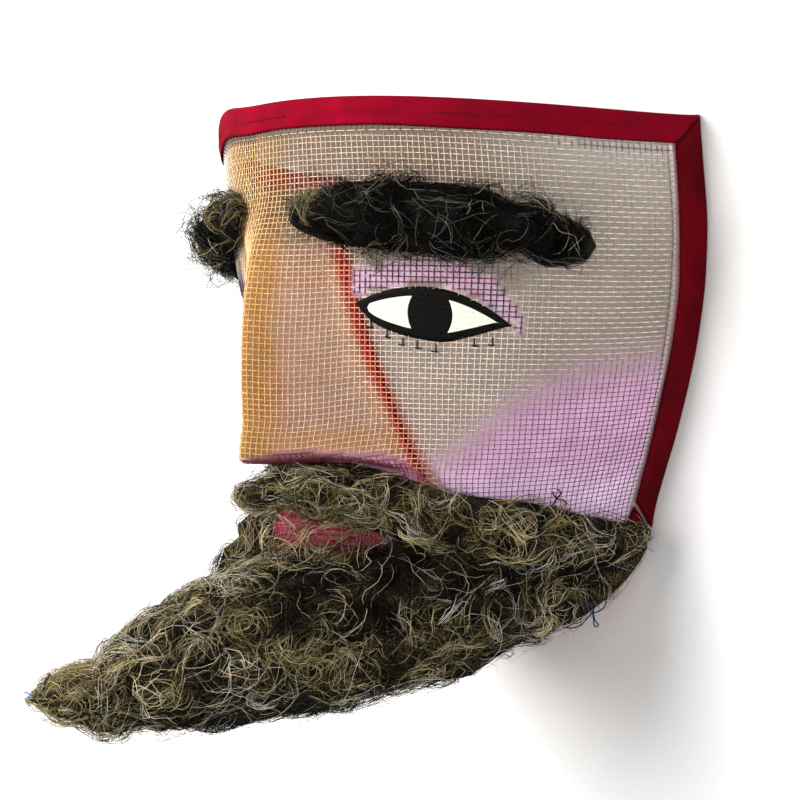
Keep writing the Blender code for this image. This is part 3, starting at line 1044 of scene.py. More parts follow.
@dataclass
class WireCloth:
    """The face itself: upright and cross wires, each passing over and under the others."""

    surface: FaceSurface
    paint: FacePaint
    row_pitch: float = 0.00159
    row_droop: float = 0.10
    wire_radius: float = 0.00021
    weave_height: float = 0.00013
    corners: int = 3
    varnish_and_shade_rows: int = 56
    varnish_and_shade_half: float = 0.00003
    edge_gap: float = 0.0006
    longest_wire: float = 0.30
    drift: float = 0.00007
    sway: float = 0.0005
    lid_swell: float = 0.45
    seed: int = 7

    def build(self) -> list[Piece]:
        """Makes both sets of wires and the skin of varnish and painted shade between them.

        Returns:
            The upright wires, the cross wires and the skin of varnish and painted shade.
        """
        shares, levels, valid = self._crossings()
        rng = np.random.default_rng(self.seed)
        rows, columns = levels.shape
        levels = levels + self.drift * np.array([wander(rng, columns, 6) for _ in range(rows)])
        places = shares[None] + self.sway * np.array([wander(rng, rows, 6) for _ in range(columns)]).T
        places[:, [0, -1]] = shares[[0, -1]]
        points, normals = self.surface.at(places, levels)
        parity = ((np.arange(rows)[:, None] + np.arange(columns)[None]) % 2) * 2.0 - 1.0
        lift = normals * parity[..., None] * self.weave_height
        thick = 1.0 + self.lid_swell * self.paint.eye.in_shadow(np.abs(places), levels)
        tones = [self.paint.colours(places, levels, kind, rng) for kind in (True, False)]
        upright = self._wires("upright_wires", (points - lift).swapaxes(0, 1), normals.swapaxes(0, 1),
                              tones[0].swapaxes(0, 1), thick.T, valid.T, rng)
        cross = self._wires("cross_wires", points + lift, normals, tones[1], thick, valid, rng)
        finish = PaintedWire().build()
        dress(upright, finish, "wire_cloth", "wire_mesh_face")
        dress(cross, finish, "wire_cloth")
        return [upright, cross, self._varnish_and_shade()]

    def _varnish_and_shade(self) -> Piece:
        """Makes the see-through skin of varnish and painted shade in the cells, along the middle of the
        cloth.

        Returns:
            The skin.
        """
        numbers = np.arange(-WIRES_A_SIDE, WIRES_A_SIDE + 1)
        share = np.clip(numbers / WIRES_A_SIDE, -CLOTH_END_SHARE, CLOTH_END_SHARE)[None]
        down = np.linspace(0.0, 1.0, self.varnish_and_shade_rows)[:, None]
        level = self.edge_gap + (self.surface.lower_edge(share) - 2.0 * self.edge_gap) * down
        share = np.broadcast_to(share, level.shape)
        point, normal = self.surface.at(share, level)
        half = normal * self.varnish_and_shade_half
        piece = mesh_piece("varnish_in_cells", *closed_grid(point + half, point - half))
        tint = self.paint.tints(share, level)
        # A ray meets the skin twice, so each face has the root of what is seen through both
        tint[..., 3] = 1.0 - np.sqrt(1.0 - tint[..., 3])
        paint_points(piece, "tint", both_sides(tint))
        return dress(piece, CellVarnishAndShade().build(), "wire_cloth")

    def _crossings(self) -> tuple[Array, Array, Array]:
        """Finds where the wires cross.

        Returns:
            Shares of the columns, levels of every crossing, and which of them are on the cloth.
        """
        numbers = np.arange(-WIRES_A_SIDE, WIRES_A_SIDE + 1)
        shares = np.clip(numbers / WIRES_A_SIDE, -CLOTH_END_SHARE, CLOTH_END_SHARE)
        lines: list[Array] = []
        for share in shares:
            levels, lengths = self.surface.column(share)
            end = float(self.surface.lower_edge(share)) - self.edge_gap
            count = int(self.longest_wire / self.row_pitch)
            droop = 1.0 - self.row_droop * share * share
            wanted = self.edge_gap + np.arange(count) * self.row_pitch * droop
            found = np.interp(wanted, lengths, levels)
            found[wanted > np.interp(end, levels, lengths)] = np.nan
            lines.append(found)
        levels = np.array(lines).T
        valid = ~np.isnan(levels)
        keep = valid.any(axis=1)
        levels = np.where(valid, levels, 0.0)[keep]
        return shares, levels, valid[keep]

    def _wires(self, name: str, points: Array, normals: Array, colours: Array, thick: Array, valid: Array,
               rng: Rng) -> Piece:
        """Makes one set of wires from their crossings.

        Args:
            name: The piece's name.
            points: Crossings of each wire.
            normals: Normal of the cloth at each.
            colours: Colour of the paint at each.
            thick: Thickness at each, 1 for the usual.
            valid: True where the crossing is on the cloth.
            rng: Source of the uneven thickness.

        Returns:
            The set of wires, each unbroken run its own tube.
        """
        vertices: list[Array] = []
        faces: list[Array] = []
        tints: list[Array] = []
        used = 0
        for line in range(len(points)):
            marks = np.flatnonzero(np.diff(np.concatenate([[0], valid[line].astype(int), [0]])))
            for start, end in zip(marks[::2], marks[1::2]):
                if end - start < 3:
                    continue
                uneven = 1.0 + 0.10 * rng.normal(size=end - start).clip(-2, 2)
                swell = thick[line, start:end] * self.wire_radius * uneven
                made, skin = tubes(points[line, start:end][None], normals[line, start:end][None],
                                   swell[None], self.corners)
                vertices.append(made)
                faces.append(skin + used)
                tints.append(np.repeat(colours[line, start:end], self.corners, axis=0))
                used += len(made)
        piece = mesh_piece(name, np.concatenate(vertices), np.concatenate(faces))
        paint_points(piece, "paint", np.concatenate(tints))
        return piece


# Paint films


@dataclass
class PaintedEye:
    """One flat almond eye in thick paint: a black almond with two white corners laid on it."""

    surface: FaceSurface
    side: Side
    shape: EyeShape = EyeShape()
    stand: float = 0.00040
    white_stand: float = 0.00047
    thin_edge: float = 0.55
    columns: int = 46
    rows: int = 16

    def build(self) -> list[Piece]:
        """Makes the black almond and the two whites.

        Returns:
            The three pieces.
        """
        label = self.side.name.lower()
        black = PaintFilm("black_eye_paint", "#0E0C0A", "#050404", 0.55, 0.25)
        white = PaintFilm("white_eye_paint", "#F4F3DE", "#DADCC2", 0.55, 0.45)
        shape = self.shape
        turn = np.linspace(0.0, math.pi, self.columns)
        start, end = shape.upper[0][0], shape.upper[-1][0]
        share = (start + (end - start) * (1.0 - np.cos(turn)) / 2.0)[None]
        across = np.linspace(0.0, 1.0, self.rows)[:, None]
        top, foot = self._upper(share), self._lower(share)
        level = top + np.maximum(foot - top, 0.0) * across
        share = np.broadcast_to(share, level.shape)
        pieces = [self._skin(f"eye_outline_{label}", share, level, self.stand, black.build())]
        for name, bow in (("inner", 1.0), ("outer", -1.0)):
            pieces.append(self._white(f"eye_white_{name}_{label}", bow, white.build()))
        return pieces

    def _upper(self, share: Array) -> Array:
        """Level of the almond's upper edge."""
        return through(self.shape.upper, share)

    def _lower(self, share: Array) -> Array:
        """Level of the almond's lower edge."""
        return through(self.shape.lower, share)

    def _white(self, name: str, bow: float, finish: Finish) -> Piece:
        """Makes a white corner, whose inner edge follows the iris.

        Args:
            name: The piece's name.
            bow: 1 for the corner by the nose, -1 for the other.
            finish: Its paint.

        Returns:
            The white corner.
        """
        shape = self.shape
        across = np.linspace(0.0, 1.0, self.rows)[:, None]
        middle = 1.0 - (2.0 * across - 1.0) ** 2
        edge = shape.iris_end_share + (shape.iris_half_share - shape.iris_end_share) * middle
        rim = shape.iris_centre - bow * edge
        corner = shape.white_shares[0] if bow > 0.0 else shape.white_shares[1]
        along = (1.0 - np.cos(np.linspace(0.0, math.pi, self.columns // 2)))[None] / 2.0
        share = corner + (rim - corner) * along
        thick = shape.lid_line
        top, foot = self._upper(share) + thick, self._lower(share) - thick
        centre = (top + foot) / 2.0
        half = np.maximum((foot - top) / 2.0, 0.0) * np.minimum(1.0, along / 0.04)
        level = centre + half * (2.0 * across - 1.0)
        return self._skin(name, share, level, self.white_stand, finish)

    def _skin(self, name: str, share: Array, level: Array, stand: float, finish: Finish) -> Piece:
        """Makes a closed film over a grid of places, which laps the wires front and back.

        Args:
            name: The piece's name.
            share: Column shares, on the wearer's left.
            level: Levels.
            stand: How far the film's face stands off the middle of the cloth.
            finish: Its paint.

        Returns:
            The film.
        """
        share = share * self.side.value
        point, normal = self.surface.at(share, level)
        edge = np.ones(share.shape)
        edge[0] = edge[-1] = self.thin_edge
        edge[:, 0] = edge[:, -1] = self.thin_edge
        skin = closed_grid(point + normal * (stand * edge)[..., None], point - normal * FILM_BACK)
        piece = mesh_piece(name, *skin)
        map_points(piece, "wires", both_sides(np.stack([np.abs(share) * WIRES_A_SIDE, level / FILM_ROW], -1)))
        weld(piece)
        return dress(piece, finish, "wire_cloth")


@dataclass
class LashMarks:
    """Short hooks of dark paint under each eye, each a stroke down with a small foot."""

    surface: FaceSurface
    side: Side
    shape: EyeShape = EyeShape()
    stroke: float = 0.0020
    foot: float = 0.0019
    thickness: float = 0.00024
    stand: float = 0.00036

    def build(self) -> list[Piece]:
        """Makes the marks.

        Returns:
            The marks, as one piece.
        """
        paths = []
        for number, (share, level) in enumerate(self.shape.lash_places):
            turn = 1.0 if number % 2 else -1.0
            upright = [(0.0, -0.5 * self.stroke), (0.0, 0.0), (0.0002, 0.5 * self.stroke)]
            flat = [(-0.3 * turn * self.foot, 0.42 * self.stroke), (0.0, 0.5 * self.stroke),
                    (0.7 * turn * self.foot, 0.45 * self.stroke)]
            for line in (upright, flat):
                paths.append([(share + x / HALF_CLOTH, level + y) for x, y in line])
        places = np.array(paths)
        share = places[..., 0] * self.side.value
        points, normals = self.surface.at(share, places[..., 1])
        points = points + normals * self.stand
        radii = np.full(points.shape[:2], self.thickness)
        piece = mesh_piece(f"lash_marks_{self.side.name.lower()}", *tubes(points, normals, radii, 5))
        return [dress(piece, TwistedThread("lash_paint", "#131C26").build(), "wire_cloth")]


@dataclass
class PaintedLips:
    """Dull pink lips in thick paint, mostly under the hair."""

    surface: FaceSurface
    half_share: float = 0.235
    top_level: float = 0.1125
    foot_level: float = 0.1282
    stand: float = 0.00042
    pout: float = 0.0062
    groove: float = 0.0016
    pout_share: tuple[float, float] = (-0.04, 0.11)
    columns: int = 40
    rows: int = 18

    def build(self) -> list[Piece]:
        """Makes both lips, parted by a groove.

        Returns:
            The lips, as one closed film.
        """
        place = np.linspace(-1.0, 1.0, self.columns)[None]
        across = np.linspace(0.0, 1.0, self.rows)[:, None]
        girth = np.sqrt(np.clip(1.0 - place ** 2, 0.0, 1.0))
        bow = 0.0012 * np.exp(-(place / 0.12) ** 2)
        middle = (self.top_level + self.foot_level) / 2.0 - 0.0008
        top = middle + (self.top_level - middle) * girth + bow
        foot = middle + (self.foot_level - middle) * girth
        level = top + (foot - top) * across
        share = np.broadcast_to(place * self.half_share, level.shape)
        point, normal = self.surface.at(share, level)
        centre, spread = self.pout_share
        fullness = np.sin(math.pi * across) ** 0.6 * girth
        fullness = fullness * (0.15 + 0.85 * np.exp(-((place * self.half_share - centre) / spread) ** 2))
        parted = np.exp(-((across - 0.46) / 0.07) ** 2) * girth
        outer = point + normal * (self.stand + self.pout * fullness - self.groove * parted)[..., None]
        piece = mesh_piece("lips", *closed_grid(outer, point - normal * FILM_BACK))
        map_points(piece, "wires", both_sides(np.stack([share * WIRES_A_SIDE, level / FILM_ROW], -1)))
        weld(piece)
        return [dress(piece, PaintFilm("lip_paint", "#A63A54", "#5A1E2C", 0.7, 0.9).build(), "wire_cloth")]


# The taped edge


class Stretch(Enum):
    """A run of the taped edge."""

    TOP = "top"
    JAW = "jaw"
    SIDE_LEFT = "side_left"
    SIDE_RIGHT = "side_right"


@dataclass
class EdgeTape:
    """Satin tape folded over the cloth's edge, mitred at the top corners and stitched by hand."""

    surface: FaceSurface
    width: float = 0.0087
    top_width: float = 0.83
    top_span: float = 0.278
    jaw_span: float = 0.245
    side_span: float = 0.118
    leg_stand: float = 0.00118
    fold_reach: float = 0.0011
    thickness: float = 0.0004
    leg_points: int = 9
    fold_points: int = 6
    step: float = 0.0020
    thread_radius: float = 0.00017
    seed: int = 11

    def build(self) -> list[Piece]:
        """Makes the four runs of tape and their stitches.

        Returns:
            The runs and the stitches.
        """
        bright = RibbonTape(corner_shade=0.62).build()
        # The side and jaw runs take a darker copy of the tape: painted shade
        wear_and_shade = RibbonTape("ribbed_satin_tape_in_shade", "#68000F", "#4A0009").build()
        inner = RibbonTape("scarlet_tape_lining", "#F03A12", "#C01C08").build()
        pieces = []
        for number, stretch in enumerate(Stretch):
            piece = self._run(stretch, np.random.default_rng(self.seed + number))
            shown = ("edge_binding",) if stretch is Stretch.TOP else ()
            dress(piece, bright if stretch is Stretch.TOP else wear_and_shade, "velvet_tape", *shown)
            piece.data.materials.append(inner)
            columns = 2 * self.leg_points + self.fold_points - 2
            within = np.arange(len(piece.data.polygons)) % (columns - 1) > columns // 2 + 2
            piece.data.polygons.foreach_set("material_index", within.astype(np.int32))
            pieces.append(piece)
        pieces.append(self._stitches())
        return pieces

    def place(self, stretch: Stretch, along: Array, inset: Array) -> tuple[Array, Array]:
        """Share and level of places on a run.

        Args:
            stretch: Which run.
            along: From 0 to 1 along it.
            inset: Distance in from the cloth's edge.

        Returns:
            The shares and the levels.
        """
        narrow = inset / self.width * TAPE_SHARE
        jaw = self.surface.sizes.jaw_level
        if stretch is Stretch.TOP:
            return (2.0 * along - 1.0) * (1.0 - narrow), self.top_width * inset + 0.0 * along
        if stretch is Stretch.JAW:
            share = (2.0 * along - 1.0) * (1.0 - narrow)
            return share, self.surface.lower_edge(share / (1.0 - narrow) * 0.9995) - inset
        side = 1.0 if stretch is Stretch.SIDE_LEFT else -1.0
        start, end = self.top_width * inset, jaw - inset
        return side * (1.0 - narrow) + 0.0 * along, start + (end - start) * along

    def _run(self, stretch: Stretch, rng: Rng) -> Piece:
        """Makes one run as a closed skin.

        Args:
            stretch: Which run.
            rng: Source of its waver and its bumps.

        Returns:
            The run.
        """
        span = {Stretch.TOP: self.top_span, Stretch.JAW: self.jaw_span}.get(stretch, self.side_span)
        count = int(span / self.step)
        along = np.linspace(0.0, 1.0, count)[:, None]
        legs = np.linspace(1.0, 0.0, self.leg_points) ** 0.8
        turn = np.linspace(0.0, math.pi, self.fold_points)[1:-1]
        inset = np.concatenate([legs, 0.0 * turn, legs[::-1]])[None] * self.width
        lean = np.concatenate([0.0 * legs + 1.0, np.cos(turn), 0.0 * legs - 1.0])[None]
        reach = np.concatenate([0.0 * legs, np.sin(turn), 0.0 * legs])[None]
        waver = 0.00022 * wander(rng, count, 5)[:, None] * (inset > 0.8 * self.width)
        share, level = self.place(stretch, along, inset + waver)
        point, normal = self.surface.at(share, level)
        out = self._outward(stretch, along, inset)
        swell = 0.00010 * np.array([wander(rng, count, 4) for _ in range(4)])
        bumps = np.zeros(inset.shape[1])[None] + sum(
            swell[k][:, None] * np.sin((k + 1) * math.pi * inset / self.width + k) for k in range(4))
        pressed = np.where(inset > 0.93 * self.width, 0.70, 1.0)
        stand = (self.leg_stand + bumps) * pressed
        outer = point + normal * (lean * stand)[..., None] + out * (reach * self.fold_reach)[..., None]
        inner = point + normal * (lean * (stand - self.thickness))[..., None]
        inner = inner + out * (reach * (self.fold_reach - self.thickness))[..., None]
        outer[..., 2] = np.maximum(outer[..., 2], 0.0)
        inner[..., 2] = np.maximum(inner[..., 2], 0.0)
        piece = mesh_piece(f"tape_{stretch.value}", *closed_grid(outer, inner))
        lengths = np.concatenate([[0.0], np.cumsum(np.linalg.norm(np.diff(outer[:, 0], axis=0), axis=-1))])
        across = np.concatenate([[0.0], np.cumsum(np.linalg.norm(np.diff(outer[1], axis=0), axis=-1))])
        uv = np.stack(np.broadcast_arrays(lengths[:, None], across[None]), -1)
        map_points(piece, "tape", both_sides(uv))
        return piece

    def _outward(self, stretch: Stretch, along: Array, inset: Array) -> Array:
        """Finds the way out of the cloth across its edge.

        Args:
            stretch: Which run.
            along: From 0 to 1 along it.
            inset: Distance in from the cloth's edge.

        Returns:
            Unit directions.
        """
        if stretch in (Stretch.SIDE_LEFT, Stretch.SIDE_RIGHT):
            out = np.zeros(np.broadcast_shapes(along.shape, inset.shape) + (3,))
            out[..., 2] = -1.0
            return out
        edge = self.surface.point(*self.place(stretch, along, 0.0 * inset))
        within = self.surface.point(*self.place(stretch, along, 0.0 * inset + 0.002))
        return unit(edge - within)

    def _stitches(self) -> Piece:
        """Makes the long hand stitches on the top and the short ones down the inner edges.

        Returns:
            The stitches, as one piece.
        """
        rng = np.random.default_rng(self.seed)
        paths, sides = [], []
        side_places = [(stretch, at, 0.012, 0.0079) for stretch in (Stretch.SIDE_LEFT, Stretch.SIDE_RIGHT)
                       for at in np.arange(0.12, 0.95, 0.055)]
        top_places = [(Stretch.TOP, at, length, inset) for at, length, inset in (
            (0.10, 0.09, 0.0040), (0.27, 0.08, 0.0044), (0.445, 0.095, 0.0042), (0.705, 0.105, 0.0040),
            (0.88, 0.055, 0.0036))]
        for stretch, at, length, inset in top_places + side_places:
            along = np.linspace(at, at + length, 7)
            share, level = self.place(stretch, along, inset + 0.0002 * rng.normal() + 0.0 * along)
            point, normal = self.surface.at(share, level)
            stand = self.leg_stand + 0.00014 * np.sin(np.linspace(0.05, math.pi - 0.05, 7)) ** 0.5
            paths.append(point + normal * stand[:, None])
            sides.append(normal)
        radii = np.full((len(paths), 7), self.thread_radius)
        piece = mesh_piece("tape_stitches", *tubes(np.array(paths), np.array(sides), radii, 5))
        return dress(piece, TwistedThread("crimson_thread", "#7A0820").build(), "velvet_tape")


# Hair


@dataclass(kw_only=True)
class HairForm:
    """A body of hair between a back that lies on the face and a front that stands off it."""

    surface: FaceSurface
    clearance: float = 0.0021
    roll_exponent: float = 0.8
    core_depth: float = 0.0024
    pinch_depth: float = 0.0030
    pinch_reach: float = 0.0034

    def sides(self, along: Array, across: Array) -> tuple[Array, Array]:
        """Works out the front and the back of the hair.

        Args:
            along: From 0 to 1 along the hair.
            across: From 0 to 1 across it.

        Returns:
            The front and the back points.
        """
        raise NotImplementedError

    def core(self, rows: int, columns: int, pinches: Array, lumpy: float,
             rng: Rng) -> tuple[Array, Array, int]:
        """Makes the lumpy closed core.

        Args:
            rows: Points along it.
            columns: Points across it.
            pinches: Along and across of each stitch that pulls the hair in.
            lumpy: How high the lumps are, 1 for the usual.
            rng: Source of the lumps.

        Returns:
            The vertices, the quads and how many of the quads are on the front.
        """
        along = np.linspace(0.0, 1.0, rows)[:, None]
        across = np.linspace(0.0, 1.0, columns)[None]
        front, back = self.sides(along, across)
        down, beside = np.gradient(front, axis=0), np.gradient(front, axis=1)
        normal = unit(np.cross(down, beside))
        away = np.sign(((front - back) * normal).sum())
        normal = normal * (away if away else 1.0)
        thick = np.linalg.norm(front - back, axis=-1)
        front = front - normal * np.minimum(self.core_depth, 0.3 * thick)[..., None]
        lumps = np.zeros(front.shape[:2])
        for size, height in ((0.017, 0.0014), (0.009, 0.0009), (0.005, 0.0004)):
            for _ in range(5):
                wave = rng.normal(size=3)
                wave = wave / np.linalg.norm(wave) * 2.0 * math.pi / size
                lumps += lumpy * height * np.sin(front @ wave + rng.uniform(0.0, 6.28)) * 0.6
        places = self.sides(pinches[:, 0], pinches[:, 1])[0]
        apart = np.linalg.norm(front[:, :, None] - places, axis=-1)
        lumps -= (self.pinch_depth * np.exp(-(apart / self.pinch_reach) ** 2)).sum(-1)
        border = np.sin(math.pi * along) ** 0.3 * np.sin(math.pi * across) ** 0.5
        lumps = np.clip(lumps * border, -0.5 * thick, 0.5 * thick)
        front = front + normal * lumps[..., None]
        front[..., 2] = np.maximum(front[..., 2], 0.0006)
        back[..., 2] = np.maximum(back[..., 2], 0.0003)
        vertices, faces = closed_grid(front, back)
        return vertices, faces, (rows - 1) * (columns - 1)


@dataclass(kw_only=True)
class HairRoll(HairForm):
    """A brow or moustache: a roll across the face, its level, half height and rise set by share."""

    start: float
    end: float
    level: Curved
    half_height: Curved
    rise: Curved
    end_power: float

    def sides(self, along: Array, across: Array) -> tuple[Array, Array]:
        """Works out the roll.

        Args:
            along: From 0 to 1 along the hair.
            across: From 0 to 1 across it.

        Returns:
            The front and the back points.
        """
        place = 2.0 * along - 1.0
        girth = np.sqrt(np.clip(1.0 - np.abs(place) ** self.end_power, 0.0, 1.0))
        share = self.start + (self.end - self.start) * along + 0.0 * across
        angle = math.pi * across
        level = self.level(share) - self.half_height(share) * girth * np.cos(angle)
        point, normal = self.surface.at(share, level)
        straight = normal * np.array([1.0, 0.0, 1.0])
        stand = self.rise(share) * girth * np.clip(np.sin(angle), 0.0, 1.0) ** self.roll_exponent
        back = point + normal * self.clearance
        return back + unit(straight) * stand[..., None], back


@dataclass(kw_only=True)
class BeardForm(HairForm):
    """The beard: a pad over the jaw, drawn forward from the chin to a point.

    Its sizes start from those of the solid it replaces, and are finer at the tip and the jaw.
    """

    end_share: float = 0.99
    mid_top: float = 0.1293
    mouth_drop: float = 0.0070
    ear_drop: float = 0.0040
    tuck: float = 0.0045
    rise: float = 0.0125
    overhang: float = 0.0245
    jaw_trim: float = 0.0055
    least_overhang: float = 0.0003
    chin_point: tuple[float, float] = (0.0, -0.0664)
    chin_radii: Spot = (0.035, 0.0345, 0.0275)
    reach: Spot = (0.0, -0.0020, 0.0828)
    tapers: tuple[float, float] = (0.80, 1.75)

    def sides(self, along: Array, across: Array) -> tuple[Array, Array]:
        """Works out the beard.

        Args:
            along: From 0 to 1 along the hair.
            across: From 0 to 1 across it.

        Returns:
            The front and the back points.
        """
        place = 2.0 * along - 1.0
        share = self.end_share * place + 0.0 * across
        side = np.abs(share)
        top = self.mid_top - self.mouth_drop * smooth_step((side - 0.12) / 0.30)
        top = top - self.ear_drop * smooth_step((side - 0.6) / 0.3)
        top = top - self.tuck * smooth_step((side - 0.28) / 0.10)
        spare = self.overhang * (1.0 - 0.95 * side) ** 1.5
        spare = spare - self.jaw_trim * smooth_step((side - 0.40) / 0.22)
        low = self.surface.lower_edge(share) + np.maximum(spare, self.least_overhang)
        level = top + (low - top) * across
        point, normal = self.surface.at(share, level)
        girth = np.sqrt(np.clip(1.0 - np.abs(place) ** 10.0, 0.0, 1.0))
        girth = girth * (1.0 - 0.92 * smooth_step((side - 0.52) / 0.36))
        swell = np.clip(np.sin(math.pi * across), 0.0, 1.0) ** 0.65 * girth
        beside, over, under = self.chin_radii
        upward = point[..., 1] - self.chin_point[1]
        sideways = (point[..., 0] - self.chin_point[0]) / beside
        offset = np.hypot(sideways, upward / np.where(upward > 0.0, over, under))
        above = smooth_step(0.5 + upward / 0.012)
        taper = self.tapers[1] + (self.tapers[0] - self.tapers[1]) * above
        reach = np.clip(1.0 - offset ** taper, 0.0, 1.0) * np.minimum(1.0, 4.0 * swell)
        back = point + normal * self.clearance
        front = back + normal * (self.rise * swell)[..., None] + np.array(self.reach) * reach[..., None]
        return front, back


@dataclass(kw_only=True)
class MouthCorner(HairForm):
    """Hair beside the mouth, between the moustache and the beard."""

    start: float = -0.46
    end: float = -0.140
    top_level: float = 0.0990
    foot_level: float = 0.1430
    rise: float = 0.0215
    lower_rise: float = 1.5
    slope_power: float = 1.3

    def sides(self, along: Array, across: Array) -> tuple[Array, Array]:
        """Works out the pad.

        Args:
            along: From 0 to 1 along the hair.
            across: From 0 to 1 across it.

        Returns:
            The front and the back points.
        """
        share = self.start + (self.end - self.start) * along + 0.0 * across
        level = self.top_level + (self.foot_level - self.top_level) * across + 0.0 * along
        point, normal = self.surface.at(share, level)
        back = point + normal * self.clearance
        ends = np.clip(np.sin(math.pi * along), 0.0, 1.0) ** np.where(along < 0.5, 0.5, self.slope_power)
        swell = ends * np.clip(np.sin(math.pi * across), 0.0, 1.0) ** 0.5
        forward = unit(normal + np.array([0.0, 0.0, 1.2]))
        rise = self.rise * (1.0 + self.lower_rise * smooth_step((across - 0.5) / 0.35))
        return back + forward * (rise * swell)[..., None], back


@dataclass(frozen=True)
class FibreMix:
    """Colours of fibre and how often each comes."""

    straw: float = 0.30
    olive: float = 0.25
    brown: float = 0.20
    black: float = 0.15
    grey: float = 0.10
    tones: tuple[tuple[str, str], ...] = (
        ("straw", "#D2C295"), ("olive", "#8E7F50"), ("brown", "#352A1A"), ("black", "#060505"),
        ("grey", "#E2DED2"))

    def pick(self, count: int, darker: Array, rng: Rng) -> Array:
        """Picks a colour for each lock.

        Args:
            count: How many locks.
            darker: For each, from 0 to 1, how much black and brown take over.
            rng: Source of the picks.

        Returns:
            Linear colours.
        """
        names = [name for name, _ in self.tones]
        weights = np.array([getattr(self, name) for name in names])[None] * np.ones((count, 1))
        weights[:, names.index("black")] += 1.2 * np.maximum(darker, 0.0)
        weights[:, names.index("brown")] += 0.5 * np.maximum(darker, 0.0)
        weights[:, names.index("straw")] += 0.6 * np.maximum(-darker, 0.0)
        weights[:, names.index("olive")] += 0.8 * np.maximum(-darker, 0.0)
        weights /= weights.sum(axis=1, keepdims=True)
        chosen = (np.cumsum(weights, axis=1) < rng.uniform(size=(count, 1))).sum(axis=1)
        tones = np.array([linear(code) for _, code in self.tones])
        return tones[np.clip(chosen, 0, len(names) - 1)] * rng.uniform(0.75, 1.2, size=(count, 1))


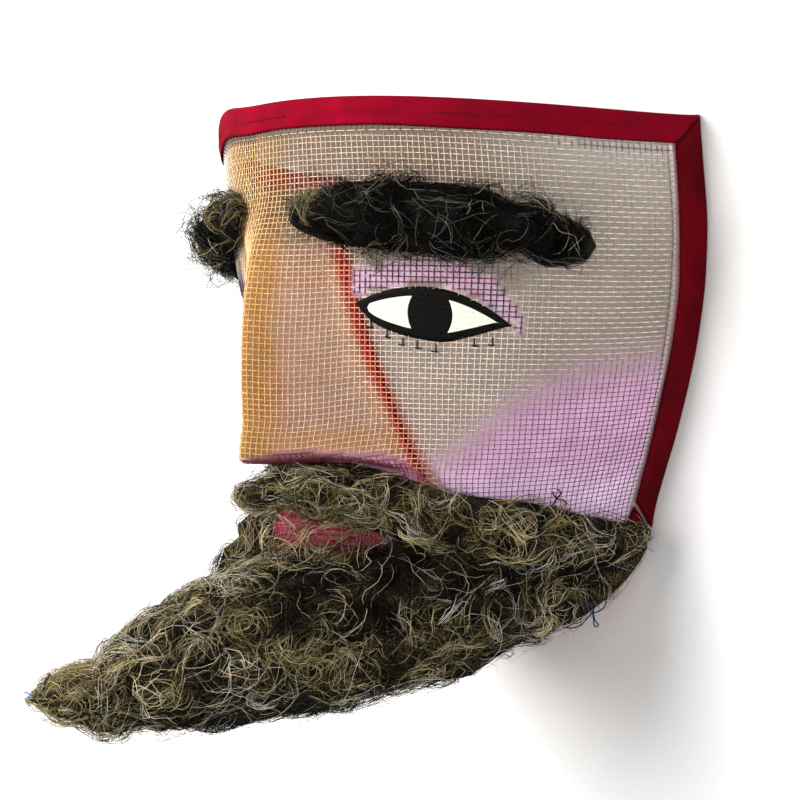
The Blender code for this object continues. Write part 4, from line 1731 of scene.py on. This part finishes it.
@dataclass
class HairPiece:
    """One piece of hair: its matted core and locks of curled strands laid over it."""

    name: str
    node: str
    slot: str
    form: HairForm
    mix: FibreMix
    core_rows: int
    core_columns: int
    locks: int
    seed: int
    coats: int = 1
    strands_a_lock: int = 7
    core_dark: str = "#060504"
    core_pale: str = "#1E1910"
    pinch_count: int = 12
    segments: int = 7
    corners: int = 3
    length: tuple[float, float] = (0.013, 0.030)
    bend: tuple[float, float] = (0.0032, 0.0085)
    waved: float = 0.5
    grain: float = 0.0
    lift: tuple[float, float] = (0.0002, 0.0024)
    stray_share: float = 0.12
    stray_lift: float = 0.0065
    stray_girth: float = 0.75
    pale_strays: float = 0.30
    own_tones: float = 0.30
    threads: bool = False
    thread_radius: float = 0.00021
    clearance: float = 0.0002
    thickness: tuple[float, float] = (0.00006, 0.00011)
    darkness: Curved | None = None
    finish: CurledFibre = CurledFibre()
    core_shown: bool = True
    lumpy: float = 1.0

    def build(self) -> list[Piece]:
        """Makes the core, its coats of strands and its threads.

        Returns:
            The pieces.
        """
        rng = np.random.default_rng(self.seed)
        pinches = rng.uniform((0.06, 0.18), (0.94, 0.82), size=(self.pinch_count, 2))
        vertices, faces, front = self.form.core(self.core_rows, self.core_columns, pinches, self.lumpy, rng)
        tree = BVHTree.FromPolygons(vertices.tolist(), faces.tolist())
        pieces = []
        if self.core_shown:
            core = mesh_piece(f"{self.name}_core", vertices, faces)
            weld(core, 2e-5)
            matted = MattedFibre("matted_fibre", self.core_dark, self.core_pale).build()
            pieces.append(dress(core, matted, self.slot, *((self.node,) if self.node else ())))
        finish = self.finish.build()
        pinned = self.form.sides(pinches[:, 0], pinches[:, 1])[0]
        for coat in range(self.coats):
            piece = self._coat(f"{self.name}_curls_{coat + 1}", tree, vertices, faces[:front], pinned, rng)
            pieces.append(dress(piece, finish, self.slot))
        if self.threads:
            pieces.append(self._threads(tree, pinned, rng))
        return pieces

    def _threads(self, tree: BVHTree, pinned: Array, rng: Rng) -> Piece:
        """Makes the black threads that cross at each stitch and pull the hair in.

        Args:
            tree: The core.
            pinned: Place of each stitch.
            rng: Source of their headings and lengths.

        Returns:
            The threads, as one piece.
        """
        count = 3 * len(pinned)
        middle = np.repeat(pinned, 3, axis=0)
        _, normal = self._nearest(tree, middle)
        heading = rng.normal(size=(count, 3))
        heading = unit(heading - (heading * normal).sum(-1, keepdims=True) * normal)
        reach = rng.uniform(0.0028, 0.0060, size=(count, 1))
        paths = []
        for place in np.linspace(-1.0, 1.0, 9):
            beside = np.cross(normal, heading)
            bowed = heading * place + 0.25 * math.cos(1.5 * place) * beside - 0.25 * beside
            spot, out = self._nearest(tree, middle + bowed * reach)
            paths.append(spot + out * (0.0004 + 0.0017 * math.sin(math.pi * abs(place)) ** 0.8))
        paths = np.array(paths).swapaxes(0, 1)
        paths[..., 2] = np.maximum(paths[..., 2], 0.0006)
        normals = np.repeat(normal[:, None], 9, axis=1)
        radii = np.full(paths.shape[:2], self.thread_radius)
        piece = mesh_piece(f"{self.name}_threads", *tubes(paths, normals, radii, 5))
        return dress(piece, TwistedThread("black_thread", "#0B0B0D").build(), self.slot)

    def _coat(self, name: str, tree: BVHTree, vertices: Array, front: Array, pinned: Array,
              rng: Rng) -> Piece:
        """Makes one coat of curled strands.

        Args:
            name: The piece's name.
            tree: The core.
            vertices: The core's points.
            front: The quads on its front.
            pinned: Place of each stitch.
            rng: Source of the locks and strands.

        Returns:
            The coat.
        """
        a, b, c, d = (vertices[front[:, k]] for k in range(4))
        area = np.linalg.norm(np.cross(c - a, d - b), axis=-1)
        chosen = rng.choice(len(front), size=self.locks, p=area / area.sum())
        s, t = rng.uniform(size=(2, self.locks, 1))
        centre = (a[chosen] * (1 - s) + b[chosen] * s) * (1 - t) + (d[chosen] * (1 - s) + c[chosen] * s) * t
        each = self.strands_a_lock
        heading = unit(rng.normal(size=(self.locks, 3)))
        combed = rng.choice((-1.0, 1.0), size=(self.locks, 1)) * np.array([1.0, 0.0, -0.6])
        heading = unit(heading + self.grain * combed)
        curl = rng.uniform(*self.bend, size=self.locks) * rng.choice((-1.0, 1.0), size=self.locks)
        length = rng.uniform(*self.length, size=self.locks)
        top = rng.uniform(*self.lift, size=self.locks)
        apart = np.linalg.norm(centre[:, None] - pinned[None], axis=-1)
        nearest = apart.argmin(axis=1)
        drawn = (apart.min(axis=1) < 0.010) & (rng.uniform(size=self.locks) < 0.7)
        heading[drawn] = unit(pinned[nearest] - centre)[drawn]
        curl[drawn] *= 2.5
        length[drawn] = np.minimum(length, apart.min(axis=1) + 0.004)[drawn]
        dark = np.zeros(self.locks) if self.darkness is None else self.darkness(centre)
        tone = self.mix.pick(self.locks, dark, rng)
        count = self.locks * each
        own = self.mix.pick(count, np.repeat(dark, each), rng)
        mixed = rng.uniform(size=(count, 1)) < self.own_tones
        tone = np.where(mixed, own, np.repeat(tone, each, axis=0)) * rng.uniform(0.7, 1.25, size=(count, 1))
        loose = rng.uniform(size=count) < self.stray_share
        pale = loose & (rng.uniform(size=count) < self.pale_strays)
        tone[pale] = np.array(linear("#D8D2C2")) * rng.uniform(0.5, 1.1, size=(int(pale.sum()), 1))
        grow = {
            "root": np.repeat(centre, each, axis=0) + rng.normal(scale=0.0006, size=(count, 3)),
            "heading": np.repeat(heading, each, axis=0) + rng.normal(scale=0.13, size=(count, 3)),
            "phase": np.repeat(rng.uniform(0.0, 6.28, size=self.locks), each),
            "waved": np.repeat(rng.uniform(size=self.locks) < self.waved, each),
            "bend": np.repeat(curl, each) * rng.uniform(0.75, 1.35, size=count) * np.where(loose, 1.5, 1.0),
            "length": np.repeat(length, each) * rng.uniform(0.7, 1.3, size=count),
            "top": np.repeat(top, each) * rng.uniform(0.6, 1.4, size=count),
            "stray": loose * self.stray_lift * rng.uniform(0.3, 1.0, size=count),
        }
        paths, normals = self._grow(tree, grow)
        along = np.linspace(0.0, 1.0, paths.shape[1])[None]
        radii = rng.uniform(*self.thickness, size=(count, 1)) * (1.0 - 0.35 * along ** 2)
        radii = radii * np.where(loose, self.stray_girth, 1.0)[:, None]
        piece = mesh_piece(name, *tubes(paths, normals, radii, self.corners, tapered=True))
        # Strands lying low on the core are darker, painted shade from those over them; strays are not
        depth_shade = 0.30 + 0.70 * smooth_step((grow["top"][:, None] + 0.0012 * np.sin(math.pi * along)) / 0.0022)
        depth_shade = np.where(loose[:, None], 1.0, depth_shade)
        shade = (tone[:, None] * depth_shade[..., None]).reshape(-1, 3)
        paint_points(piece, "fibre", np.repeat(shade, self.corners, axis=0))
        return piece

    def _grow(self, tree: BVHTree, grow: dict[str, Array]) -> tuple[Array, Array]:
        """Walks each strand over the core, turning steadily about the core's normal.

        Args:
            tree: The core.
            grow: Root, heading, curl and height of each strand.

        Returns:
            Points of each strand, and the core's normal at each.
        """
        count = len(grow["root"])
        steps = self.segments
        step = (grow["length"] / steps)[:, None]
        turn = (grow["length"] / steps / grow["bend"])[:, None]
        place, normal = self._nearest(tree, grow["root"])
        heading = grow["heading"]
        point = place + normal * self.clearance
        paths, normals = [point], [normal]
        for number in range(1, steps + 1):
            heading = unit(heading - (heading * normal).sum(-1, keepdims=True) * normal)
            wave = np.where(grow["waved"], 1.4 * np.cos(grow["phase"] + number * 5.5 / steps), 1.0)[:, None]
            heading = heading * np.cos(turn * wave) + np.cross(normal, heading) * np.sin(turn * wave)
            place, normal = self._nearest(tree, point + heading * step)
            along = number / steps
            height = grow["top"] * math.sin(math.pi * min(1.0, 0.15 + 0.85 * along)) ** 0.6
            height = height + grow["stray"] * along ** 1.6 + self.clearance
            point = place + normal * height[:, None]
            point[:, 2] = np.maximum(point[:, 2], 0.0004)
            paths.append(point)
            normals.append(normal)
        return np.array(paths).swapaxes(0, 1), np.array(normals).swapaxes(0, 1)

    @staticmethod
    def _nearest(tree: BVHTree, points: Array) -> tuple[Array, Array]:
        """Nearest places on the core, and its normals there."""
        found = [tree.find_nearest(point)[:2] for point in points.tolist()]
        return np.array([tuple(place) for place, _ in found]), np.array([tuple(n) for _, n in found])


@dataclass
class Hair:
    """All the hair on the mask."""

    surface: FaceSurface
    brow_shares: tuple[float, float] = (0.095, 0.750)
    brow_levels: tuple[float, float] = (0.0314, 0.0300)
    brow_sizes: tuple[float, float] = (1.0, 0.88)
    brow_half_height: float = 0.0086
    brow_rise: float = 0.0125
    brow_tail_drop: float = 0.0020
    moustache_share: float = 0.985
    moustache_level: float = 0.1112
    moustache_half_heights: tuple[float, float] = (0.0066, 0.0092)
    moustache_rises: tuple[float, float] = (0.0190, 0.0115)
    pale_patches: Patches = (
        ((0.0330, -0.0650, 0.1090), 0.0150), ((-0.0300, -0.0650, 0.1200), 0.0180),
        ((0.0530, -0.0660, 0.0440), 0.0085), ((-0.0100, -0.0740, 0.1500), 0.0140),
        ((0.0000, -0.0735, 0.1720), 0.0180))
    dark_patches: Patches = (
        ((0.0285, -0.0520, 0.0940), 0.0165), ((0.0400, -0.0560, 0.0720), 0.0120),
        ((0.0485, -0.0575, 0.0500), 0.0100), ((0.0560, -0.0590, 0.0330), 0.0090))

    def build(self) -> list[Piece]:
        """Makes the brows, the moustache, the beard and the hair round the mouth.

        Returns:
            The pieces.
        """
        pieces = []
        for side, level, size in zip(Side, self.brow_levels, self.brow_sizes):
            pieces += self._brow(side, level, size)
        return pieces + self._moustache() + self._beard() + self._mouth_corner()

    def _brow(self, side: Side, middle: float, size: float) -> list[Piece]:
        """Makes one brow: black and glossy, with straw near the nose and pale strays.

        Args:
            side: Which brow.
            middle: Its middle level.
            size: Its size, 1 for the near one's.

        Returns:
            The pieces.
        """
        start, end = self.brow_shares

        def place(share: Array) -> Array:
            """Place along the brow, from -1 by the nose to 1 at its tail."""
            return (np.abs(share) - start) / (end - start) * 2.0 - 1.0

        def level(share: Array) -> Array:
            """Middle level of the brow, which drops at its tail."""
            return middle + self.brow_tail_drop * (np.clip(place(share), 0.0, 1.0) ** 2
                                                   + 0.8 * smooth_step((place(share) - 0.55) / 0.2))

        def half(share: Array) -> Array:
            """Half height, drawn in where the tail is sewn on."""
            return size * self.brow_half_height * (1.02 - 0.26 * np.exp(-((place(share) - 0.52) / 0.10) ** 2))

        def rise(share: Array) -> Array:
            """Rise of the brow, the same all along."""
            return 0.0 * share + self.brow_rise * size

        def sparse(points: Array) -> Array:
            """Straw by the nose, and black away from it."""
            return smooth_step((np.abs(points[:, 0]) - 0.021) / 0.014) * 4.6 - 1.6

        form = HairRoll(surface=self.surface, start=side.value * start, end=side.value * end, level=level,
                        half_height=half, rise=rise, end_power=3.2)
        mix = FibreMix(straw=0.14, olive=0.20, brown=0.10, black=0.60, grey=0.55, tones=(
            ("straw", "#B5A678"), ("olive", "#7D7046"), ("brown", "#0C0A07"), ("black", "#020202"),
            ("grey", "#6E6C66")))
        label = side.name.lower()
        near = side is Side.LEFT
        return HairPiece(
            name=f"brow_{label}", node=f"eyebrow_{label}", slot="dark_hair", form=form, mix=mix,
            core_rows=50, core_columns=22, locks=200 if near else 120, strands_a_lock=8, lumpy=0.45,
            seed=31 if near else 32, core_dark="#020202", core_pale="#24241F", pinch_count=5,
            length=(0.008, 0.019), bend=(0.0040, 0.0110), lift=(0.0002, 0.0030),
            thickness=(0.00005, 0.00009), stray_share=0.26, stray_lift=0.0100, stray_girth=0.95,
            grain=1.6, darkness=sparse, own_tones=0.70, pale_strays=0.04,
            finish=CurledFibre("glossy_black_fibre", 0.45, 0.06)).build()

    def _moustache(self) -> list[Piece]:
        """Makes the moustache: olive and brown curls in one roll from jaw to jaw.

        Returns:
            The pieces.
        """
        mid, side_half = self.moustache_half_heights
        mid_rise, end_rise = self.moustache_rises

        def half(share: Array) -> Array:
            """Half height of the roll, fuller beside the nose and thin at the jaw."""
            grown = mid + (side_half - mid) * smooth_step((np.abs(share) - 0.05) / 0.20)
            return grown * (1.0 - 0.30 * smooth_step((np.abs(share) - 0.60) / 0.35))

        def level(share: Array) -> Array:
            """Middle level of the roll, a little lower at the jaw."""
            return self.moustache_level + 0.0042 * smooth_step((np.abs(share) - 0.62) / 0.32)

        def rise(share: Array) -> Array:
            """Rise of the roll, most under the nose."""
            return end_rise + (mid_rise - end_rise) * (1.0 - smooth_step(np.abs(share) / 0.40))

        form = HairRoll(surface=self.surface, start=-self.moustache_share, end=self.moustache_share,
                        level=level, half_height=half, rise=rise, end_power=8.0)
        mix = FibreMix(straw=0.24, olive=0.34, brown=0.20, black=0.20, grey=0.10)
        return HairPiece(
            name="moustache", node="moustache", slot="dark_hair", form=form, mix=mix, core_rows=100,
            core_columns=20, locks=330, seed=41, grain=0.8, core_pale="#5E5438", pinch_count=10,
            lift=(0.0002, 0.0026), stray_share=0.14).build()

    @staticmethod
    def _within(points: Array, patches: Patches) -> Array:
        """Finds how far points are inside patches.

        Args:
            points: The points.
            patches: Centre and reach of each patch.

        Returns:
            From 0 outside to 1 well inside.
        """
        inside = np.zeros(len(points))
        for centre, reach in patches:
            apart = np.linalg.norm(points - np.array(centre), axis=-1)
            inside = np.maximum(inside, 1.0 - smooth_step((apart / reach - 0.6) / 0.5))
        return inside

    def _beard(self) -> list[Piece]:
        """Makes the beard: straw curls, black along the jaw's lower edge and under the mouth, partly as
        painted shade.

        Returns:
            The pieces.
        """
        def darkness(points: Array) -> Array:
            """Finds where black takes over, partly as painted shade: under the mouth and moustache and along
            the jaw's foot.

            Args:
                points: Middles of the locks.

            Returns:
                How much darker each lock is, less than 0 where it is paler.
            """
            aside = np.abs(points[:, 0])
            tucked = smooth_step((points[:, 1] + 0.0595) / 0.004) * smooth_step((aside - 0.012) / 0.01)
            under = smooth_step((-0.0775 - points[:, 1]) / 0.004) * smooth_step((0.150 - points[:, 2]) / 0.02)
            dark = np.maximum.reduce([self._within(points, self.dark_patches), tucked, under])
            return 4.0 * dark - 3.2 * self._within(points, self.pale_patches) + 0.25

        return HairPiece(
            name="beard", node="beard", slot="beard_hair", form=BeardForm(surface=self.surface),
            mix=FibreMix(), core_rows=120, core_columns=54, coats=3, locks=410, seed=51, pinch_count=30,
            threads=True, darkness=darkness, core_pale="#5E5438").build()

    def _mouth_corner(self) -> list[Piece]:
        """Makes the hair that joins moustache and beard beside the mouth, and a veil over the lips.

        Returns:
            The pieces.
        """
        corner = HairPiece(
            name="mouth_corner", node="", slot="beard_hair", form=MouthCorner(surface=self.surface),
            mix=FibreMix(straw=0.30, olive=0.30, brown=0.22, black=0.12, grey=0.10), core_rows=18,
            core_columns=18, locks=140, seed=61, pinch_count=2, length=(0.010, 0.020),
            core_pale="#6A6044")
        veil = MouthCorner(surface=self.surface, start=-0.100, end=0.300, top_level=0.1150,
                           foot_level=0.1400, rise=0.0085, lower_rise=0.0, slope_power=0.5)
        return corner.build() + HairPiece(
            name="mouth_veil", node="", slot="beard_hair", form=veil,
            mix=FibreMix(straw=0.30, olive=0.34, brown=0.22, black=0.14, grey=0.10), core_rows=18,
            core_columns=18, locks=95, strands_a_lock=6, seed=62, pinch_count=1,
            length=(0.010, 0.020), bend=(0.006, 0.014), core_shown=False).build()


@dataclass
class LooseThreads:
    """Ends of sewing thread: a black loop on the cheek, a dark bow at the jaw, a pale knot at the tip."""

    surface: FaceSurface
    thickness: float = 0.00022
    cheek: tuple[float, float] = (0.728, 0.1018)
    cheek_stand: float = 0.0012
    jaw: Spot = (0.0600, -0.0669, 0.0300)
    tip: Spot = (-0.0030, -0.0722, 0.1776)

    def build(self) -> list[Piece]:
        """Makes the three threads.

        Returns:
            The threads.
        """
        point, normal = self.surface.at(*self.cheek)
        cheek = point + normal * self.cheek_stand
        loop = self._thread("thread_loop_cheek", "black_thread", "#101014", cheek, (
            (-1.6, -2.2), (-0.6, -0.8), (0.0, 0.0), (0.9, 1.2), (0.6, 2.3), (-0.5, 2.4), (-1.2, 1.5),
            (-0.6, 0.5), (0.4, -0.3), (1.8, -0.5), (2.8, -1.6)))
        bow = self._thread("thread_bow_jaw", "dark_blue_thread", "#22344A", np.array(self.jaw), (
            (3.6, 3.4), (3.3, 1.6), (2.2, 0.2), (0.6, -0.5), (-0.6, -0.3), (-2.0, 1.0), (-2.2, 2.2),
            (-1.0, 1.8), (-0.2, 0.2), (0.0, -1.2), (0.4, -2.8), (1.4, -4.0), (0.8, -4.6), (0.1, -4.0),
            (0.0, -2.2), (-0.4, -0.8), (-1.8, -2.2), (-3.6, -4.0), (-5.6, -4.9), (-8.0, -4.8)))
        knot = self._thread("thread_knot_tip", "pale_blue_thread", "#7FB4DE", np.array(self.tip), (
            (1.6, -0.8), (0.6, -0.2), (-0.4, 0.6), (-1.2, 0.4), (-1.0, -0.6), (0.0, -0.8), (0.5, 0.2),
            (0.0, 0.9), (-0.9, 0.9), (-1.3, -0.1), (-0.4, -0.5), (0.4, 0.5), (-0.5, 1.6), (-1.8, 2.2)))
        return [loop, bow, knot]

    def _thread(self, name: str, finish: str, colour: str, place: Array, route: Curve) -> Piece:
        """Makes one thread.

        Args:
            name: The piece's name.
            finish: Name of its material.
            colour: Its colour.
            place: Where it starts from.
            route: Its knots, in millimetres across and up from there as the camera sees it.

        Returns:
            The thread.
        """
        across, up, out = (np.array(axis) for axis in Studio().axes())
        knots = np.array([place + (across * x + up * y) * MM + out * 0.0005 * math.sin(2.1 * i)
                          for i, (x, y) in enumerate(route)])
        at = np.linspace(0.0, len(knots) - 1.0, 5 * len(knots))
        path = np.stack([through(tuple(enumerate(knots[:, k])), at) for k in range(3)], -1)
        path[:, 2] = np.maximum(path[:, 2], 0.0005)
        sides = np.broadcast_to(out, path.shape)
        radii = np.full((1, len(path)), self.thickness)
        piece = mesh_piece(name, *tubes(path[None], sides[None], radii, 6))
        return dress(piece, TwistedThread(finish, colour).build(), "beard_hair")


# Floor, light and camera


@dataclass(frozen=True)
class Studio:
    """A pale floor, soft light and the camera, which looks down at the mask as it lies."""

    pivot: Spot = (0.0, -0.0121, 0.050)
    azimuth: float = 55.5
    pitch: float = 2.918
    roll: float = -5.618
    distance: float = 0.8
    metres_per_pixel: float = 0.000298
    centre_pixel: tuple[float, float] = (397.81, 430.0)
    picture: float = 800.0
    sensor: float = 36.0
    floor_half: float = 6.0

    def axes(self) -> tuple[Vector, Vector, Vector]:
        """Works out which way the camera is turned.

        Returns:
            Its right, up and backward directions, with the mask's own up near the picture's.
        """
        turn, pitch, roll = (math.radians(a) for a in (self.azimuth, self.pitch, self.roll))
        back = Vector((math.sin(turn), 0.0, math.cos(turn)))
        right = Vector((math.cos(turn), 0.0, -math.sin(turn)))
        up = Vector((0.0, 1.0, 0.0))
        tilted = up * math.cos(pitch) - back * math.sin(pitch)
        back = back * math.cos(pitch) + up * math.sin(pitch)
        up = tilted * math.cos(roll) - right * math.sin(roll)
        right = right * math.cos(roll) + tilted * math.sin(roll)
        return right, up, back

    def build(self) -> None:
        """Makes the floor, the lights and the camera."""
        bpy.ops.object.select_all(action="DESELECT")
        bpy.ops.mesh.primitive_plane_add(size=2.0 * self.floor_half, location=(0.0, 0.0, 0.0))
        floor = bpy.context.object
        floor.name = "floor"
        bpy.ops.object.transform_apply(location=True, rotation=True, scale=True)
        floor.data.materials.append(PaleFloor().build())
        self._camera()
        self._light("key", (-0.50, 0.45, 1.25), 1.0, 28.0)
        self._light("fill", (1.2, 0.0, 0.9), 1.3, 10.0)
        world = bpy.data.worlds.new("studio")
        world.use_nodes = True
        sky = world.node_tree.nodes["Background"]
        sky.inputs["Color"].default_value = (1.0, 1.0, 1.0, 1.0)
        sky.inputs["Strength"].default_value = 0.38
        bpy.context.scene.world = world

    def _camera(self) -> None:
        """Places the camera and sets its lens and its small shift."""
        right, up, back = self.axes()
        lens = bpy.data.cameras.new("camera")
        lens.sensor_width = self.sensor
        focal_pixels = self.distance / self.metres_per_pixel
        lens.lens = focal_pixels / self.picture * self.sensor
        lens.shift_x = (self.picture / 2.0 - self.centre_pixel[0]) / self.picture
        lens.shift_y = (self.centre_pixel[1] - self.picture / 2.0) / self.picture
        lens.clip_start, lens.clip_end = 0.05, 30.0
        camera = bpy.data.objects.new("camera", lens)
        place = Vector(self.pivot) + back * self.distance
        camera.matrix_world = Matrix.Translation(place) @ Matrix((right, up, back)).transposed().to_4x4()
        bpy.context.scene.collection.objects.link(camera)
        bpy.context.scene.camera = camera

    @staticmethod
    def _light(name: str, place: Spot, size: float, power: float) -> None:
        """Adds a square soft light that faces the mask.

        Args:
            name: The light's name.
            place: Where it stands.
            size: Its side.
            power: Its power, in watts.
        """
        lamp = bpy.data.lights.new(name, "AREA")
        lamp.shape = "SQUARE"
        lamp.size = size
        lamp.energy = power
        light = bpy.data.objects.new(name, lamp)
        light.location = place
        away = Vector(place) - Vector((0.0, 0.0, 0.05))
        light.rotation_euler = away.to_track_quat("Z", "Y").to_euler()
        bpy.context.scene.collection.objects.link(light)


def main() -> None:
    """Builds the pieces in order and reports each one."""
    logging.basicConfig(level=logging.INFO, format="%(name)s %(message)s")
    bpy.context.scene.view_settings.view_transform = "Standard"
    Studio().build()
    surface = FaceSurface(FaceSizes())
    builders = [WireCloth(surface, FacePaint())]
    for side in Side:
        builders += [PaintedEye(surface, side), LashMarks(surface, side)]
    builders += [PaintedLips(surface), EdgeTape(surface), Hair(surface), LooseThreads(surface)]
    for builder in builders:
        for piece in builder.build():
            LOG.info("%s: %d faces", piece.name, len(piece.data.polygons))


if __name__ == "__main__":
    main()
